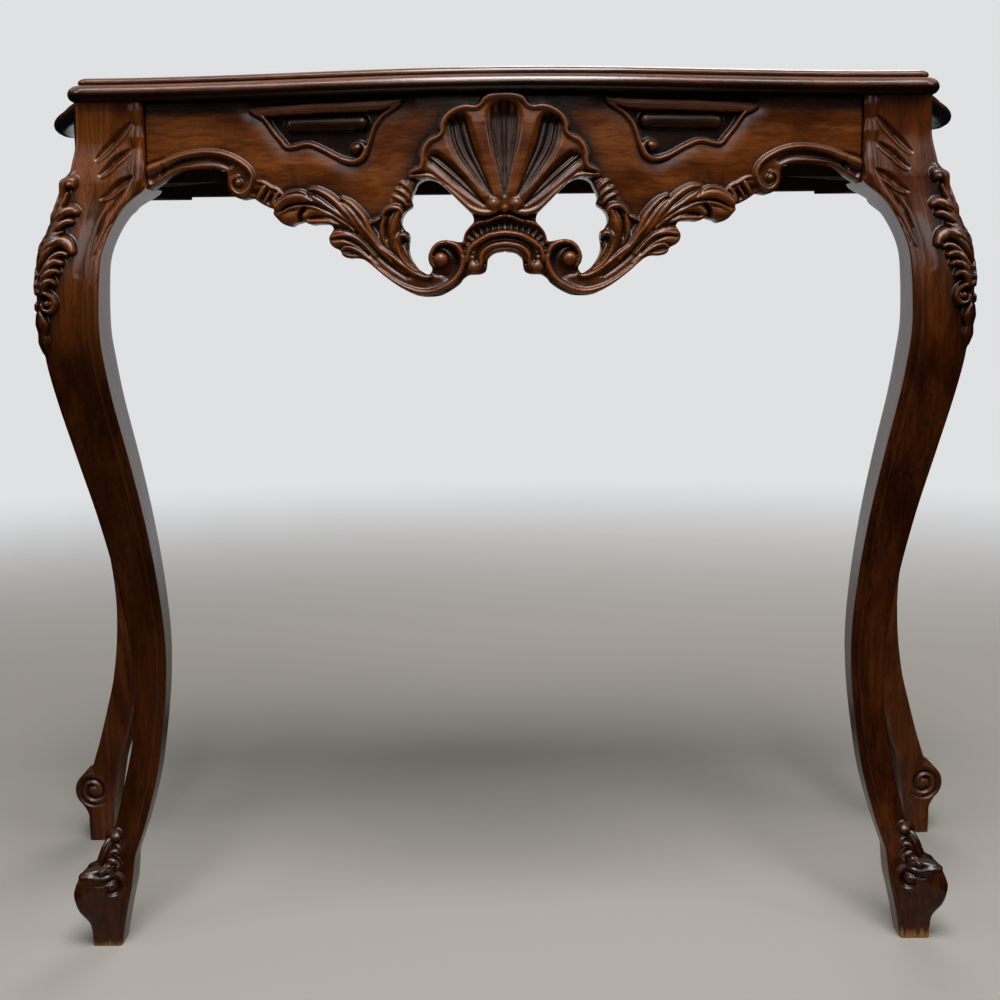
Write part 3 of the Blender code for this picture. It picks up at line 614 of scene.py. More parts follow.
@dataclass(frozen=True)
class FrenchPolishedWalnut:
    """Walnut, stained and French polished: red-brown, with dark polish and painted shade in the recesses and
    wear and painted highlights on the ridges.
    """

    grain: Grain
    deep: str = "#220b03"
    middle: str = "#461d02"
    golden: str = "#6b3503"
    toner: str = "#0a0302"
    worn: str = "#84543c"
    # Broad figure: cloudy bands of darker and golden wood
    figure: Pattern = Pattern((95.0, 26.0), 5.0, 0.55, 0.6, (0.38, 0.60))
    # Growth lines: long narrow streaks
    streak: Pattern = Pattern((90.0, 3.2), 4.0, 0.6, 0.9, (0.42, 0.62), 0.55)
    # Open pores: short dark flecks, drawn about twice as wide as they are so that they show
    pore: Pattern = Pattern((9.0, 0.9), 2.0, 0.5, 0.0, (0.56, 0.68), 0.42)
    # Roughness at its least and its most, and the noise of the figure at which it is reached
    roughness: Pair = (0.20, 0.34)
    roughened: Pair = (0.3, 0.7)
    gloss: float = 0.25
    ior: float = 1.5
    # Strength and depth, in metres, of the grain's bump
    bump: Pair = (0.25, 0.0003)
    # Heights between which painted shade deepens down the piece, and how deep it gets
    shaded: Pair = (0.66, 0.50)
    shade: float = 0.0
    # Heights between which the painted shadow of the top's overhang darkens an open face, and how far
    overhang: Pair = (0.716, 0.723)
    dust: float = 0.85
    # Tones between which the carving darkens, partly as dark polish and partly as painted shade, and ridges
    # pale, partly as wear and partly as painted highlight, and how far
    toned: Triple = (-0.05, -0.75, 0.92)
    rubbed: Triple = (0.15, 0.85, 0.28)
    # Height under which the sole is scuffed to bare wood, how ragged and how soft its edge is, and how bare
    scuffed: float = 0.0
    ragged: Pair = (2.4, -0.6)
    scuff: Triple = (-0.001, 0.005, 0.75)
    bare: str = "#8a6238"
    name: str = "french_polished_walnut"

    def material(self) -> Material:
        """Build the material.

        Returns:
            A node material that reads Object coordinates and the tone of carved pieces.
        """
        material = blank_material(f"{self.name}_{self.grain.name.lower()}")
        tree = material.node_tree
        place = add_node(tree, "ShaderNodeTexCoord").outputs["Object"]
        figure, figure_share = self.figure.drawn(tree, place, self.grain)
        streak, streak_share = self.streak.drawn(tree, place, self.grain)
        _, pore_share = self.pore.drawn(tree, place, self.grain)

        # Painted shade that deepens down the piece, and the painted shadow of the top's overhang
        height = add_node(tree, "ShaderNodeSeparateXYZ", inputs={0: place}).outputs[2]
        shade_share = add_node(tree, "ShaderNodeMapRange", {"interpolation_type": "SMOOTHSTEP"}, {
            "Value": height, "From Min": self.shaded[1], "From Max": self.shaded[0],
            "To Min": self.shade, "To Max": 0.0})
        # Painted shadow of the top's overhang, only on the faces marked to take it
        under_overhang = add_node(tree, "ShaderNodeMapRange", {"interpolation_type": "SMOOTHSTEP"}, {
            "Value": height, "From Min": self.overhang[0], "From Max": self.overhang[1], "To Max": self.dust})
        takes_overhang_shadow = add_node(tree, "ShaderNodeAttribute", {"attribute_name": OVERHANG_SHADOW_MASK})
        overhang_shadow_share = add_node(tree, "ShaderNodeMath", {"operation": "MULTIPLY"}, {
            0: under_overhang.outputs[0], 1: takes_overhang_shadow.outputs["Fac"]})

        # Dark polish and painted shade in the carving, and ridges paled by wear and painted highlight
        tone = add_node(tree, "ShaderNodeAttribute", {"attribute_name": TONE}).outputs["Fac"]
        toner_and_shade_share, wear_and_highlight_share = (add_node(tree, "ShaderNodeMapRange", inputs={
            "Value": tone, "From Min": start, "From Max": full, "To Max": most})
            for start, full, most in (self.toned, self.rubbed))

        # Scuffs: a ragged edge of bare wood round the sole
        ragged = add_node(tree, "ShaderNodeMath", {"operation": "MULTIPLY_ADD"}, {
            0: streak, 1: self.ragged[0] * self.scuffed, 2: self.ragged[1] * self.scuffed})
        under = add_node(tree, "ShaderNodeMath", {"operation": "SUBTRACT"}, {0: ragged.outputs[0], 1: height})
        scuff_share = add_node(tree, "ShaderNodeMapRange", inputs={
            "Value": under.outputs[0], "From Min": self.scuff[0], "From Max": self.scuff[1],
            "To Max": self.scuff[2] if self.scuffed else 0.0})

        colour = linear(self.middle)
        for share, code in ((figure_share, self.golden), (streak_share, self.deep), (pore_share, self.deep),
                            (shade_share.outputs[0], self.toner), (overhang_shadow_share.outputs[0], self.toner),
                            (toner_and_shade_share.outputs[0], self.toner), (wear_and_highlight_share.outputs[0], self.worn),
                            (scuff_share.outputs[0], self.bare)):
            coat = add_node(tree, "ShaderNodeMix", {"data_type": "RGBA"}, {
                0: share, 6: colour, 7: linear(code)})
            colour = coat.outputs[2]
        roughness = add_node(tree, "ShaderNodeMapRange", inputs={
            "Value": figure, "From Min": self.roughened[0], "From Max": self.roughened[1],
            "To Min": self.roughness[0], "To Max": self.roughness[1]})
        grain_height = add_node(tree, "ShaderNodeMath", {"operation": "ADD"}, {0: streak, 1: pore_share})
        bump = add_node(tree, "ShaderNodeBump", {"invert": True}, {
            "Strength": self.bump[0], "Distance": self.bump[1], "Height": grain_height.outputs[0]})
        shader = add_node(tree, "ShaderNodeBsdfPrincipled", inputs={
            "Base Color": colour, "Roughness": roughness.outputs[0], "Normal": bump.outputs[0],
            "IOR": self.ior, "Specular IOR Level": self.gloss})
        add_node(tree, "ShaderNodeOutputMaterial", inputs={"Surface": shader.outputs[0]})
        return material


@dataclass(frozen=True)
class StainedBeech:
    """Beech, sawn and brushed with dark stain: matt, nearly black, with the saw's faint ripple."""

    grain: Grain
    dark: str = "#150c06"
    pale: str = "#2c1b10"
    figure: Pattern = Pattern((70.0, 5.0), 6.0, 0.65)
    ripple_mm: float = 4.0
    # Strength and depth, in metres, of the ripple
    bump: Pair = (0.3, 0.0004)
    roughness: float = 0.75
    gloss: float = 0.03
    ior: float = 1.5

    def material(self) -> Material:
        """Build the material.

        Returns:
            A node material that reads Object coordinates.
        """
        material = blank_material(f"stained_beech_{self.grain.name.lower()}")
        tree = material.node_tree
        place = add_node(tree, "ShaderNodeTexCoord").outputs["Object"]
        _, figure_share = self.figure.drawn(tree, place, self.grain)
        colour = add_node(tree, "ShaderNodeMix", {"data_type": "RGBA"}, {
            0: figure_share, 6: linear(self.dark), 7: linear(self.pale)})
        ripple = add_node(tree, "ShaderNodeTexNoise", inputs={
            "Vector": place, "Scale": PER_METRE / self.ripple_mm, "Detail": 2.0})
        bump = add_node(tree, "ShaderNodeBump", inputs={
            "Strength": self.bump[0], "Distance": self.bump[1], "Height": ripple.outputs[0]})
        shader = add_node(tree, "ShaderNodeBsdfPrincipled", inputs={
            "Base Color": colour.outputs[2], "Roughness": self.roughness, "Normal": bump.outputs[0],
            "IOR": self.ior, "Specular IOR Level": self.gloss})
        add_node(tree, "ShaderNodeOutputMaterial", inputs={"Surface": shader.outputs[0]})
        return material


def flecked(name: str, fleck: Pair, colours: tuple[str, str], shader: dict) -> Material:
    """Build a finish whose two colours lie in fine flecks.

    Args:
        name: Name of the material.
        fleck: Size of the flecks in millimetres, and their detail.
        colours: The two colours.
        shader: The shader's other inputs, by name.

    Returns:
        The material.
    """
    material = blank_material(name)
    tree = material.node_tree
    place = add_node(tree, "ShaderNodeTexCoord").outputs["Object"]
    noise = add_node(tree, "ShaderNodeTexNoise", inputs={
        "Vector": place, "Scale": PER_METRE / fleck[0], "Detail": fleck[1]})
    colour = add_node(tree, "ShaderNodeMix", {"data_type": "RGBA"}, {
        0: noise.outputs[0], 6: linear(colours[0]), 7: linear(colours[1])})
    surface = add_node(tree, "ShaderNodeBsdfPrincipled", inputs={"Base Color": colour.outputs[2], **shader})
    add_node(tree, "ShaderNodeOutputMaterial", inputs={"Surface": surface.outputs[0]})
    return material


@dataclass(frozen=True)
class BareBeech:
    """Beech dowel, turned and left bare: pale, dry and fine-grained."""

    dark: str = "#a67c4f"
    light: str = "#c9a274"
    fleck: Pair = (2.5, 3.0)
    roughness: float = 0.7
    ior: float = 1.5

    def material(self) -> Material:
        """Build the material."""
        shader = {"Roughness": self.roughness, "IOR": self.ior}
        return flecked("bare_beech_dowel", self.fleck, (self.dark, self.light), shader)


@dataclass(frozen=True)
class AgedSteel:
    """Steel wood screw, drawn and left bare: grey, dulled by age, with brown bloom."""

    bright: str = "#8b8781"
    bloom: str = "#4f4036"
    fleck: Pair = (1.5, 4.0)
    roughness: float = 0.42

    def material(self) -> Material:
        """Build the material."""
        shader = {"Metallic": 1.0, "Roughness": self.roughness}
        return flecked("aged_screw_steel", self.fleck, (self.bright, self.bloom), shader)


@dataclass(frozen=True)
class Layout:
    """Places that the pieces share, read from the frame."""

    underside: float
    post_in: float
    post_back: float
    back_post_in: float
    back_post_front: float
    gap: float = 0.0003

    @classmethod
    def from_frame(cls) -> Layout:
        """Read the places off the boxes of the rails and the top.

        Returns:
            The layout.
        """
        gap = cls.gap
        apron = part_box("front_apron")
        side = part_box("right_side_apron")
        return cls(
            underside=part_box("tabletop")[0][2],
            post_in=apron[1][0] + gap,
            post_back=side[0][1] - gap,
            back_post_in=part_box("back_rail")[1][0] + gap,
            back_post_front=side[1][1] + gap,
        )


# The apron's drawing: millimetres out from the middle and up from the top edge. Rows with a third
# number give the half width of a cut there.
APRON_EDGE = (
    (0, -125.5), (7.7, -126.7), (11.7, -129.1), (14.2, -132.3), (15, -138), (16.6, -142), (21.5, -144),
    (29.6, -144.4), (34.5, -147.6), (37.8, -151.7), (46, -157.3), (54.1, -161), (64, -161.8),
    (72.2, -160.6), (78.7, -157.7), (86.9, -153.2), (95.1, -147.5), (103.3, -141), (109.8, -135.3),
    (115.6, -131.2), (122.2, -129.5), (129.7, -129.5), (133.9, -127), (134.7, -124.6), (136.3, -123),
    (141.3, -120.5), (144.2, -117.2), (144.5, -112.3), (141.9, -108.3), (141, -105.1), (144.3, -101.8),
    (152.7, -101.3), (160.3, -101.6), (164.4, -99.5), (166.1, -97.9), (167.8, -99.1), (173.7, -100.7),
    (178, -102.7), (183.9, -100.6), (188, -96.4), (191.3, -92.3), (190.4, -89), (194.6, -87.4),
    (201.3, -84), (208.8, -79), (214, -79), (220, -79.5), (227, -75.5), (230, -68), (229.5, -61),
    (232, -56.8), (240.6, -54.2), (253, -53.6), (266, -54.3), (274.7, -56.2), (283.3, -61.1), (292, -66.6),
    (298.7, -70.8),
)
PIERCING = (
    (73.1, -74.4), (70.6, -69.6), (65.7, -66.9), (60, -66.5), (53.6, -69), (47.9, -73.8), (41.5, -80.2),
    (35.1, -86.6), (29.4, -92.2), (26.2, -96.2), (25.4, -101.8), (28.7, -105.8), (31.9, -109.8),
    (33.6, -113.8), (35.2, -117.8), (44.1, -116.6), (49.8, -116.2), (55.5, -117.8), (60.4, -122.6),
    (62.9, -129), (62.1, -134.7), (59.7, -138.7), (61, -142.5), (63.8, -143.5), (70.4, -139.5),
    (75.2, -133.8), (78.4, -127.3), (79.2, -120.9), (78.3, -114.4), (79.1, -109.6), (82.4, -107.2),
    (84.8, -102.3), (83.9, -96.7), (80.6, -91.9), (75.6, -88), (76.4, -82.3),
)
SHELL_PLATE = (
    (-12, -2), (0, -1.2), (10, -1.8), (15.8, -4), (19, -8.4), (23.5, -10.4), (30.5, -9.8), (38, -11.4),
    (44, -14.5), (48.6, -19), (50.8, -24.8), (51.2, -30), (55, -33.4), (60.8, -36), (65.2, -41.5),
    (67, -48), (67, -54), (68.5, -58), (72.5, -60), (77, -62.5), (77, -65.5), (70, -65), (61.5, -65.5),
    (53.5, -70.5), (45.5, -76.5), (37.5, -83.5), (29.5, -90.5), (21.5, -95), (13.5, -96.4), (7.5, -95),
    (0, -93), (-12, -93),
)
SHELL_RIM = (
    (76, -62.5, 1.2), (72, -60.6, 1.8), (68, -59, 2.1), (66, -54.5, 2.3), (65.8, -48.5, 2.3),
    (64, -42.6, 2.3), (60, -37.6, 2.2), (54.2, -35, 1.9), (50.2, -31.4, 1.8), (49.6, -25.6, 2.2),
    (47.2, -20, 2.4), (43, -16, 2.4), (37.6, -13, 2.4), (30.4, -11.4, 2.3), (23.4, -12, 1.9),
    (18.2, -9.6, 1.9), (15, -5.4, 2.4), (9.6, -3.2, 2.6), (0, -2.5, 2.6), (-8, -3, 2.6),
)
FLUTES = (
    Flute(((0, -20.5, 15.6), (0, -27, 15.2), (0, -35, 13.7), (0, -51, 9.9), (0, -67, 6), (0, -80, 3.2)),
        (7.6, 5.6, 2.6), 5, 1.6),
    Flute(((36.6, -25.8, 11), (34.4, -36, 11.8), (30.3, -47, 10.6), (24.3, -57.8, 8.5), (17, -70.7, 5.3),
        (11, -80.5, 2.2)), (7.2, 5.2, 2.4), 4, 1.6),
    Flute(((55.5, -52.5, 7.2), (48, -58.5, 7.3), (36, -69.5, 6.3), (24, -81.5, 4), (17, -88, 2)),
        (5, 3.8, 1.8), 3, 0.6),
)
CARTOUCHE = (
    (207, -8.2), (180, -6.6), (150, -5.8), (115, -5.4), (84, -5.2), (97.7, -15.3), (105.2, -24.2),
    (109, -34.1), (112, -43), (115, -49.2), (121.2, -52.8), (128.6, -51.6), (138.4, -46.9), (150.3, -40.5),
    (161.6, -36.8), (177, -39.2), (183, -33.5), (189.9, -25.3), (197, -15.5),
)
CARTOUCHE_HEAD = (
    (204, -10.4, 2), (195, -10.4, 3.2), (180, -9.6, 3.6), (150, -8.8, 3.7), (115, -8.4, 3.6), (100, -8, 3.2),
    (91, -6.6, 2.4), (83, -3.6, 1.4),
)
CARTOUCHE_CUTS = (
    # Curl round the knob, the knob, and the broad roll along the head
    Cut(BEAD, ((133, -49.6, 2.2), (125, -52, 2.6), (117.5, -50, 2.6), (113.6, -44, 2.4), (115, -39, 2),
        (118, -36.6, 1.4)), (1.6, 2.2, 1)),
    Knob((120.4, -41.5), 4.8, 6.4, -4.4),
    Cut(BEAD, CARTOUCHE_HEAD, (2.2, 2.6, 2.2), -0.8),
)
SHELL_CUTS = (
    Cut(BEAD, SHELL_RIM, (2.4, 2.6, 2.8), 8.6),
    Cut(VEIN, ((75, -63.5, 1.3), (69.5, -62.6, 1.5), (63.5, -63, 1.5), (57, -66, 1.3), (48.5, -72, 1.2),
        (40.5, -78.5, 1)), (4, 3.5, 1.5)),
    Cut(BEAD, ((76.5, -65, 1.2), (70, -64.9, 2), (61.5, -65.4, 2.3), (53.5, -70.4, 2.4), (45.5, -76.4, 2.4),
        (37.5, -83.4, 2.5), (29.5, -90.2, 2.6), (21.5, -94, 2.6), (13.5, -94.8, 2.4), (7.5, -93.2, 2)),
        (2.2, 2.6, 2.4), 6.6),
    Cut(BEAD, ((60.5, -49.5, 1), (49.5, -58.5, 1.5), (37.5, -69, 1.4), (23, -82.5, 1)), (1.5, 2.6, 2.4),
        4.6),
    Cut(BEAD, ((61.5, -54.5, 1), (49.5, -64, 1.5), (37.5, -74.5, 1.4), (25.5, -85, 1)), (1.5, 2.6, 2.4),
        4.6),
    Cut(BEAD, ((61, -59.5, 1), (49.5, -68, 1.4), (37.5, -78.5, 1.4), (25.5, -88, 1)), (1.5, 2.4, 2.2), 4.6),
    Knob((9, -88), 5.2, 5.4, 6.6),
    Knob((0, -91.5), 3.6, 3.6, 5),
)
CREST_CUTS = (
    Cut(MASS, ((-8, -111, 15), (0, -111, 15), (10, -113, 14), (19, -119, 13), (25, -130, 10),
        (26, -137, 8)), (3.6, 3.6, 3.6)),
    Cut(GOUGE, ((-6, -104, 5.5), (4, -104.5, 5.5), (14, -107.5, 5), (23, -111, 5), (28, -118, 4)),
        (2.4, 2.4, 2)),
    Cut(BEAD, ((33.8, -119, 1.5), (32.8, -112, 1.7), (29, -107, 1.7), (24, -103.5, 1.7), (19, -102, 1.7),
        (13.5, -101.3, 1.7), (9.5, -99.6, 1.7), (5, -97.8, 1.7), (0, -97.2, 1.7), (-6, -97.8, 1.7)),
        (3, 3.4, 3.4), 3.2),
    Cut(BEAD, ((31, -133, 1.8), (29.5, -125, 2.2), (24.5, -119.5, 2.4), (18, -115.3, 2.5),
        (11, -112.2, 2.5), (0, -110.8, 2.5), (-8, -111.6, 2.5)), (3.2, 4, 4.2), 3.2),
    Cut(GOUGE, ((23.5, -134, 2.4), (22.5, -126.5, 2.6), (17.5, -120.4, 2.6), (9.5, -116.8, 2.6),
        (0, -115.4, 2.6), (-6, -115.8, 2.6)), (2.2, 2.8, 2.8)),
    Cut(BEAD, ((19.6, -137, 1.5), (19.4, -129.6, 1.9), (16, -124.4, 2), (10, -121, 2), (0, -119.4, 2),
        (-6, -119.8, 2)), (2.6, 2.8, 2.8), 3),
    Cut(VEIN, ((16.8, -136, 1.2), (16, -130.5, 1.3), (12, -125.6, 1.3), (6, -122.8, 1.2), (-2, -122, 1.2)),
        (1.6, 1.8, 1.8)),
    Knob((26, -138.5), 5, 3.4, 2.6),
)
SCROLL_CUTS = (
    Cut(MASS, ((187, -87, 6), (176, -88, 11.5), (160, -88, 12.5), (146, -92, 11.5), (134, -99, 12),
        (122, -110, 13), (108, -124, 12.5), (94, -137, 11.5), (80, -146, 10), (66, -151, 8.5),
        (54, -152, 8)), (3.2, 3.6, 3.6)),
    Cut(MASS, ((141, -112.5, 5), (132, -114, 7.5), (120, -120, 9), (108, -130, 9)), (3.6, 3.6, 3.6)),
    Cut(MASS, ((132, -124.5, 4.5), (124, -126, 5.5), (112, -131, 6)), (3.2, 3.4, 3.4)),
    # Upper lobes, whose tips lie on the flat of the apron
    Cut(BEAD, ((160.5, -73.6, 1.2), (155.5, -74, 2.6), (150.5, -75.8, 3.3), (144, -79.8, 3.7),
        (138, -84.8, 3.9), (134, -89.2, 4), (127.5, -96.5, 4), (119.5, -107, 3.6), (109.5, -119.5, 2.6)),
        (3.4, 5.6, 3), 1.2),
    Cut(BEAD, ((158.5, -79.5, 2), (152.5, -83, 2.8), (146, -88, 3.2), (139, -92.6, 3.2), (131, -99, 3),
        (122.5, -107.6, 2.4)), (2.6, 2.8, 2), 3.4),
    Cut(BEAD, ((133.6, -80.8, 1.2), (127.5, -84.6, 2.8), (122.5, -89.2, 3.5), (118.5, -93.8, 3.7),
        (115, -98.4, 3.8), (112, -105.5, 3.6), (107, -113.5, 3.2), (100, -123.5, 2.4)), (3.6, 5.6, 3), 1),
    Cut(BEAD, ((133, -85.5, 1.6), (129, -89.6, 2.4), (124, -95.2, 2.8), (118.5, -102.6, 2.9),
        (112, -110.6, 2.8), (103, -122, 2.4), (93.5, -132.5, 2)), (2.4, 2.8, 2), 3.4),
    Cut(BEAD, ((111, -102, 1.2), (106, -99.8, 1.8), (102.5, -98, 1.2)), (1.6, 2.2, 1.6), 1),
    # End lobe: a bright roll with a thin rim above and a deep groove below
    Cut(BEAD, ((187.5, -87, 4.5), (181, -82.8, 5.2), (174, -80.8, 5.4), (166.5, -80.9, 5),
        (159, -83.3, 4.2), (151, -86.8, 3.4), (140, -92.3, 2.4)), (2.8, 3.4, 1.6), 3.4),
    Cut(BEAD, ((186.5, -81.4, 1), (181.5, -77.8, 1.3), (177.5, -76, 1.4), (171.5, -75, 1.4),
        (166.5, -75.5, 1.4), (162.5, -77.5, 1.3), (160, -80.5, 1.1), (158, -83.5, 0.8)), (1.4, 2, 1.2),
        4.4),
    Cut(VEIN, ((161.5, -76.6, 1.2), (159.2, -80, 1.4), (156.6, -84, 1)), (1.6, 2.2, 1)),
    Cut(VEIN, ((184.5, -91, 1.4), (179.5, -87.5, 1.8), (173.5, -85.5, 1.9), (166.5, -85, 1.8),
        (161, -85.1, 1.7), (155, -86.5, 1.6), (148.5, -89.5, 1.5), (140, -94.5, 1.4), (132, -99.5, 1.3),
        (126, -104.5, 1.2), (121, -109.5, 1)), (3, 3.2, 1.8)),
    Cut(BEAD, ((185, -92.8, 1.2), (179.5, -89.8, 1.7), (173.5, -87.9, 1.8), (166.5, -87.2, 1.8),
        (161, -87.5, 1.8), (154, -89.2, 1.8), (146, -93.2, 1.8), (137.5, -98.5, 1.8), (129.5, -103.2, 1.7),
        (123.5, -108, 1.4)), (2, 2.2, 1.6), 3.6),
    Cut(BEAD, ((187.5, -93.5, 4.2), (182, -95.5, 5.4), (175, -95, 5.4), (169.5, -92, 4)), (2, 2.6, 2), 2.4),
    Cut(GOUGE, ((164.5, -88, 1.6), (167, -91.5, 2.4), (168.8, -95, 2.6), (168, -98.5, 2.4)), (3.5, 5, 4)),
    Cut(BEAD, ((164, -95, 3.2), (158.5, -92, 3.8), (151, -92.6, 3.8), (142.5, -96, 3.6),
        (134.5, -100.8, 3.2), (126, -107.5, 2.4)), (2.2, 2.6, 1.6), 3),
    Cut(VEIN, ((161, -96.6, 1.4), (152.5, -95.6, 1.8), (144, -96.6, 1.8), (136, -101, 1.7),
        (129.5, -105, 1.5), (123, -110.5, 1.2)), (2.6, 3, 2)),
    Cut(BEAD, ((164, -99.4, 1.8), (156, -99.6, 2.1), (147.5, -99.8, 2.1), (141, -101.2, 2),
        (134.5, -104.2, 1.8)), (1.6, 2, 1.4), 2.6),
    Cut(GOUGE, ((141, -105, 3), (135, -106, 3), (128, -109, 2.4), (121, -113.5, 1.6)), (3, 3.2, 1.5)),
    # Lower lobes
    Cut(BEAD, ((140.5, -109, 2.2), (132, -109.5, 2.6), (123.5, -112.6, 2.6), (115.5, -118.6, 2.2)),
        (1.6, 1.8, 1.4), 3.4),
    Cut(BEAD, ((141.5, -112.6, 1.6), (134.5, -111.4, 2), (128, -111.8, 2), (122, -113.6, 2),
        (114.5, -119.6, 1.9), (106.5, -128.4, 1.6)), (2.2, 2.8, 2), 3.6),
    Cut(VEIN, ((142, -114, 1.3), (134.5, -113.6, 1.7), (128, -114.8, 1.7), (121, -118.2, 1.6),
        (115.5, -122.6, 1.4), (110.5, -127.2, 1.2)), (2.4, 2.8, 2)),
    Cut(BEAD, ((141, -117, 2.6), (133.5, -117, 3.2), (127, -119.2, 3), (119.5, -123.6, 2.6),
        (113, -129, 2.2), (105, -136, 1.8)), (2, 2.4, 1.6), 3.2),
    Cut(VEIN, ((136.5, -122.5, 1.2), (131.5, -119.6, 1.4), (124.5, -120.6, 1.4), (118, -124.2, 1.3),
        (111.5, -129.2, 1)), (2, 2.2, 1.4)),
    Cut(BEAD, ((134.4, -123.4, 1.2), (132.6, -121.4, 1.4), (129.5, -120.9, 1.5), (124.5, -122, 1.5),
        (118, -125.5, 1.5), (111.5, -130.4, 1.2)), (1.8, 2.2, 1.6), 3.2),
    Cut(GOUGE, ((132.5, -124.4, 1.6), (128, -124.8, 2), (121, -127, 1.6)), (1.8, 2.4, 1.2)),
    # Stem: fine veins and its two rims, the lower one rolling up into the volute
    Cut(VEIN, ((126, -103.5, 1), (118, -112.8, 1.3), (109, -123.3, 1.3), (100, -132.3, 1.3),
        (90, -140.3, 1.2), (80.5, -146.5, 1)), (1.4, 1.9, 1.4)),
    Cut(VEIN, ((114.5, -114.3, 0.9), (106.5, -123.3, 1.2), (96.5, -133, 1.2), (87, -140.6, 1.1),
        (77, -146.6, 0.9)), (1.2, 1.6, 1.2)),
    Cut(BEAD, ((101, -122.5, 1.6), (91, -130.2, 2), (82.5, -137.2, 2.1), (74.5, -142.6, 2.1),
        (66.5, -145.6, 2), (60.5, -145.4, 1.4)), (1.8, 2.4, 2), 3.8),
)
VOLUTE_CUTS = (
    Cut(MASS, ((48, -136, 17.5), (50, -135, 17.5)), (2, 2, 2)),
    Cut(GOUGE, ((60, -150, 5), (50, -147, 6), (43, -140.5, 6), (41.5, -131.5, 5.5), (46.5, -124, 4.5),
        (53, -122.8, 3.6), (57, -126.5, 3)), (0.6, 2, 2.6)),
    Cut(BEAD, ((111, -133.5, 1.4), (100, -142.4, 2), (91, -149, 2.3), (83, -153.4, 2.5),
        (74.5, -156.6, 2.6), (66.5, -158, 2.7), (58, -157, 2.7), (50, -153.8, 2.7), (42.2, -148.6, 2.6),
        (36.4, -141, 2.6), (34.4, -133, 2.5), (35.6, -126.2, 2.4), (39.2, -121, 2.3), (45, -118.2, 2.2),
        (51.3, -118.2, 2.1), (56.2, -120.6, 2), (59.4, -124.8, 1.9), (60.8, -130, 1.8), (60, -134.6, 1.6),
        (57.6, -138, 1.2)), (2.4, 4.2, 3.8), 3.2),
    Knob((53, -132), 6.6, 6.4, 1.4),
)
INNER_LEAF_CUTS = (
    Cut(MASS, ((89, -91, 5), (91, -99, 6.5), (93, -108, 7.5), (92, -118, 8), (87, -127, 8), (80, -136, 7),
        (70, -143.5, 5)), (3, 3.2, 3.2)),
    Cut(BEAD, ((100, -96, 1.6), (96.4, -91, 2.4), (91, -89.6, 2.8), (86, -91, 2.8), (83.6, -94, 2.2)),
        (2.4, 3.4, 2.6), 3),
    Cut(BEAD, ((87, -94.5, 2.6), (89.5, -100.5, 3.2), (91.5, -108, 3.6), (91, -117, 3.6), (87, -125.5, 3.2),
        (80.5, -134, 2.4)), (2.6, 3, 2), 3.2),
    Cut(VEIN, ((92, -92.4, 1.2), (95.5, -98, 1.6), (97, -106, 1.6), (96.4, -115, 1.4)), (2.6, 2.8, 1.6)),
    Cut(BEAD, ((98.5, -97, 1.6), (100.5, -105, 2), (100, -114, 2), (96, -122.5, 1.6)), (1.8, 2.2, 1.6),
        2.6),
    Cut(BEAD, ((89.6, -115.6, 1.6), (86, -112.4, 2.2), (82, -111.6, 2.2), (79.8, -113.6, 1.6)),
        (2.2, 2.8, 2.2), 3.2),
    Cut(BEAD, ((86, -113.6, 2), (88, -120, 2.4), (85.4, -128, 2.4), (79.8, -135.6, 2.2), (72, -141, 1.8)),
        (2.2, 2.6, 2), 3.6),
    Cut(VEIN, ((83.2, -116, 1.2), (84.8, -121.5, 1.6), (83.2, -127.5, 1.6), (78.2, -134, 1.4),
        (72, -138.6, 1)), (2.4, 2.8, 1.6)),
    Cut(VEIN, ((103, -114.5, 0.9), (98, -121.2, 1.2), (91.5, -129.2, 1.2), (83.5, -137.5, 0.9)),
        (1.4, 1.8, 1.2)),
    # Ribbed band that ties the leaf to the shell
    Cut(MASS, ((76.5, -72.5, 5), (82.5, -79, 6.5), (88, -86, 6)), (1.6, 2, 1.6)),
    Cut(BEAD, ((88, -75, 1.2), (82, -78, 1.7), (77, -83, 1.4)), (1.8, 2.2, 1.6), 1.6),
    Cut(BEAD, ((91, -80, 1.2), (85, -83, 1.7), (79.5, -87.6, 1.4)), (1.8, 2.2, 1.6), 1.6),
    Cut(BEAD, ((84, -69.6, 1.2), (79, -73, 1.7), (75.6, -77.6, 1.4)), (1.8, 2.2, 1.6), 1.6),
)
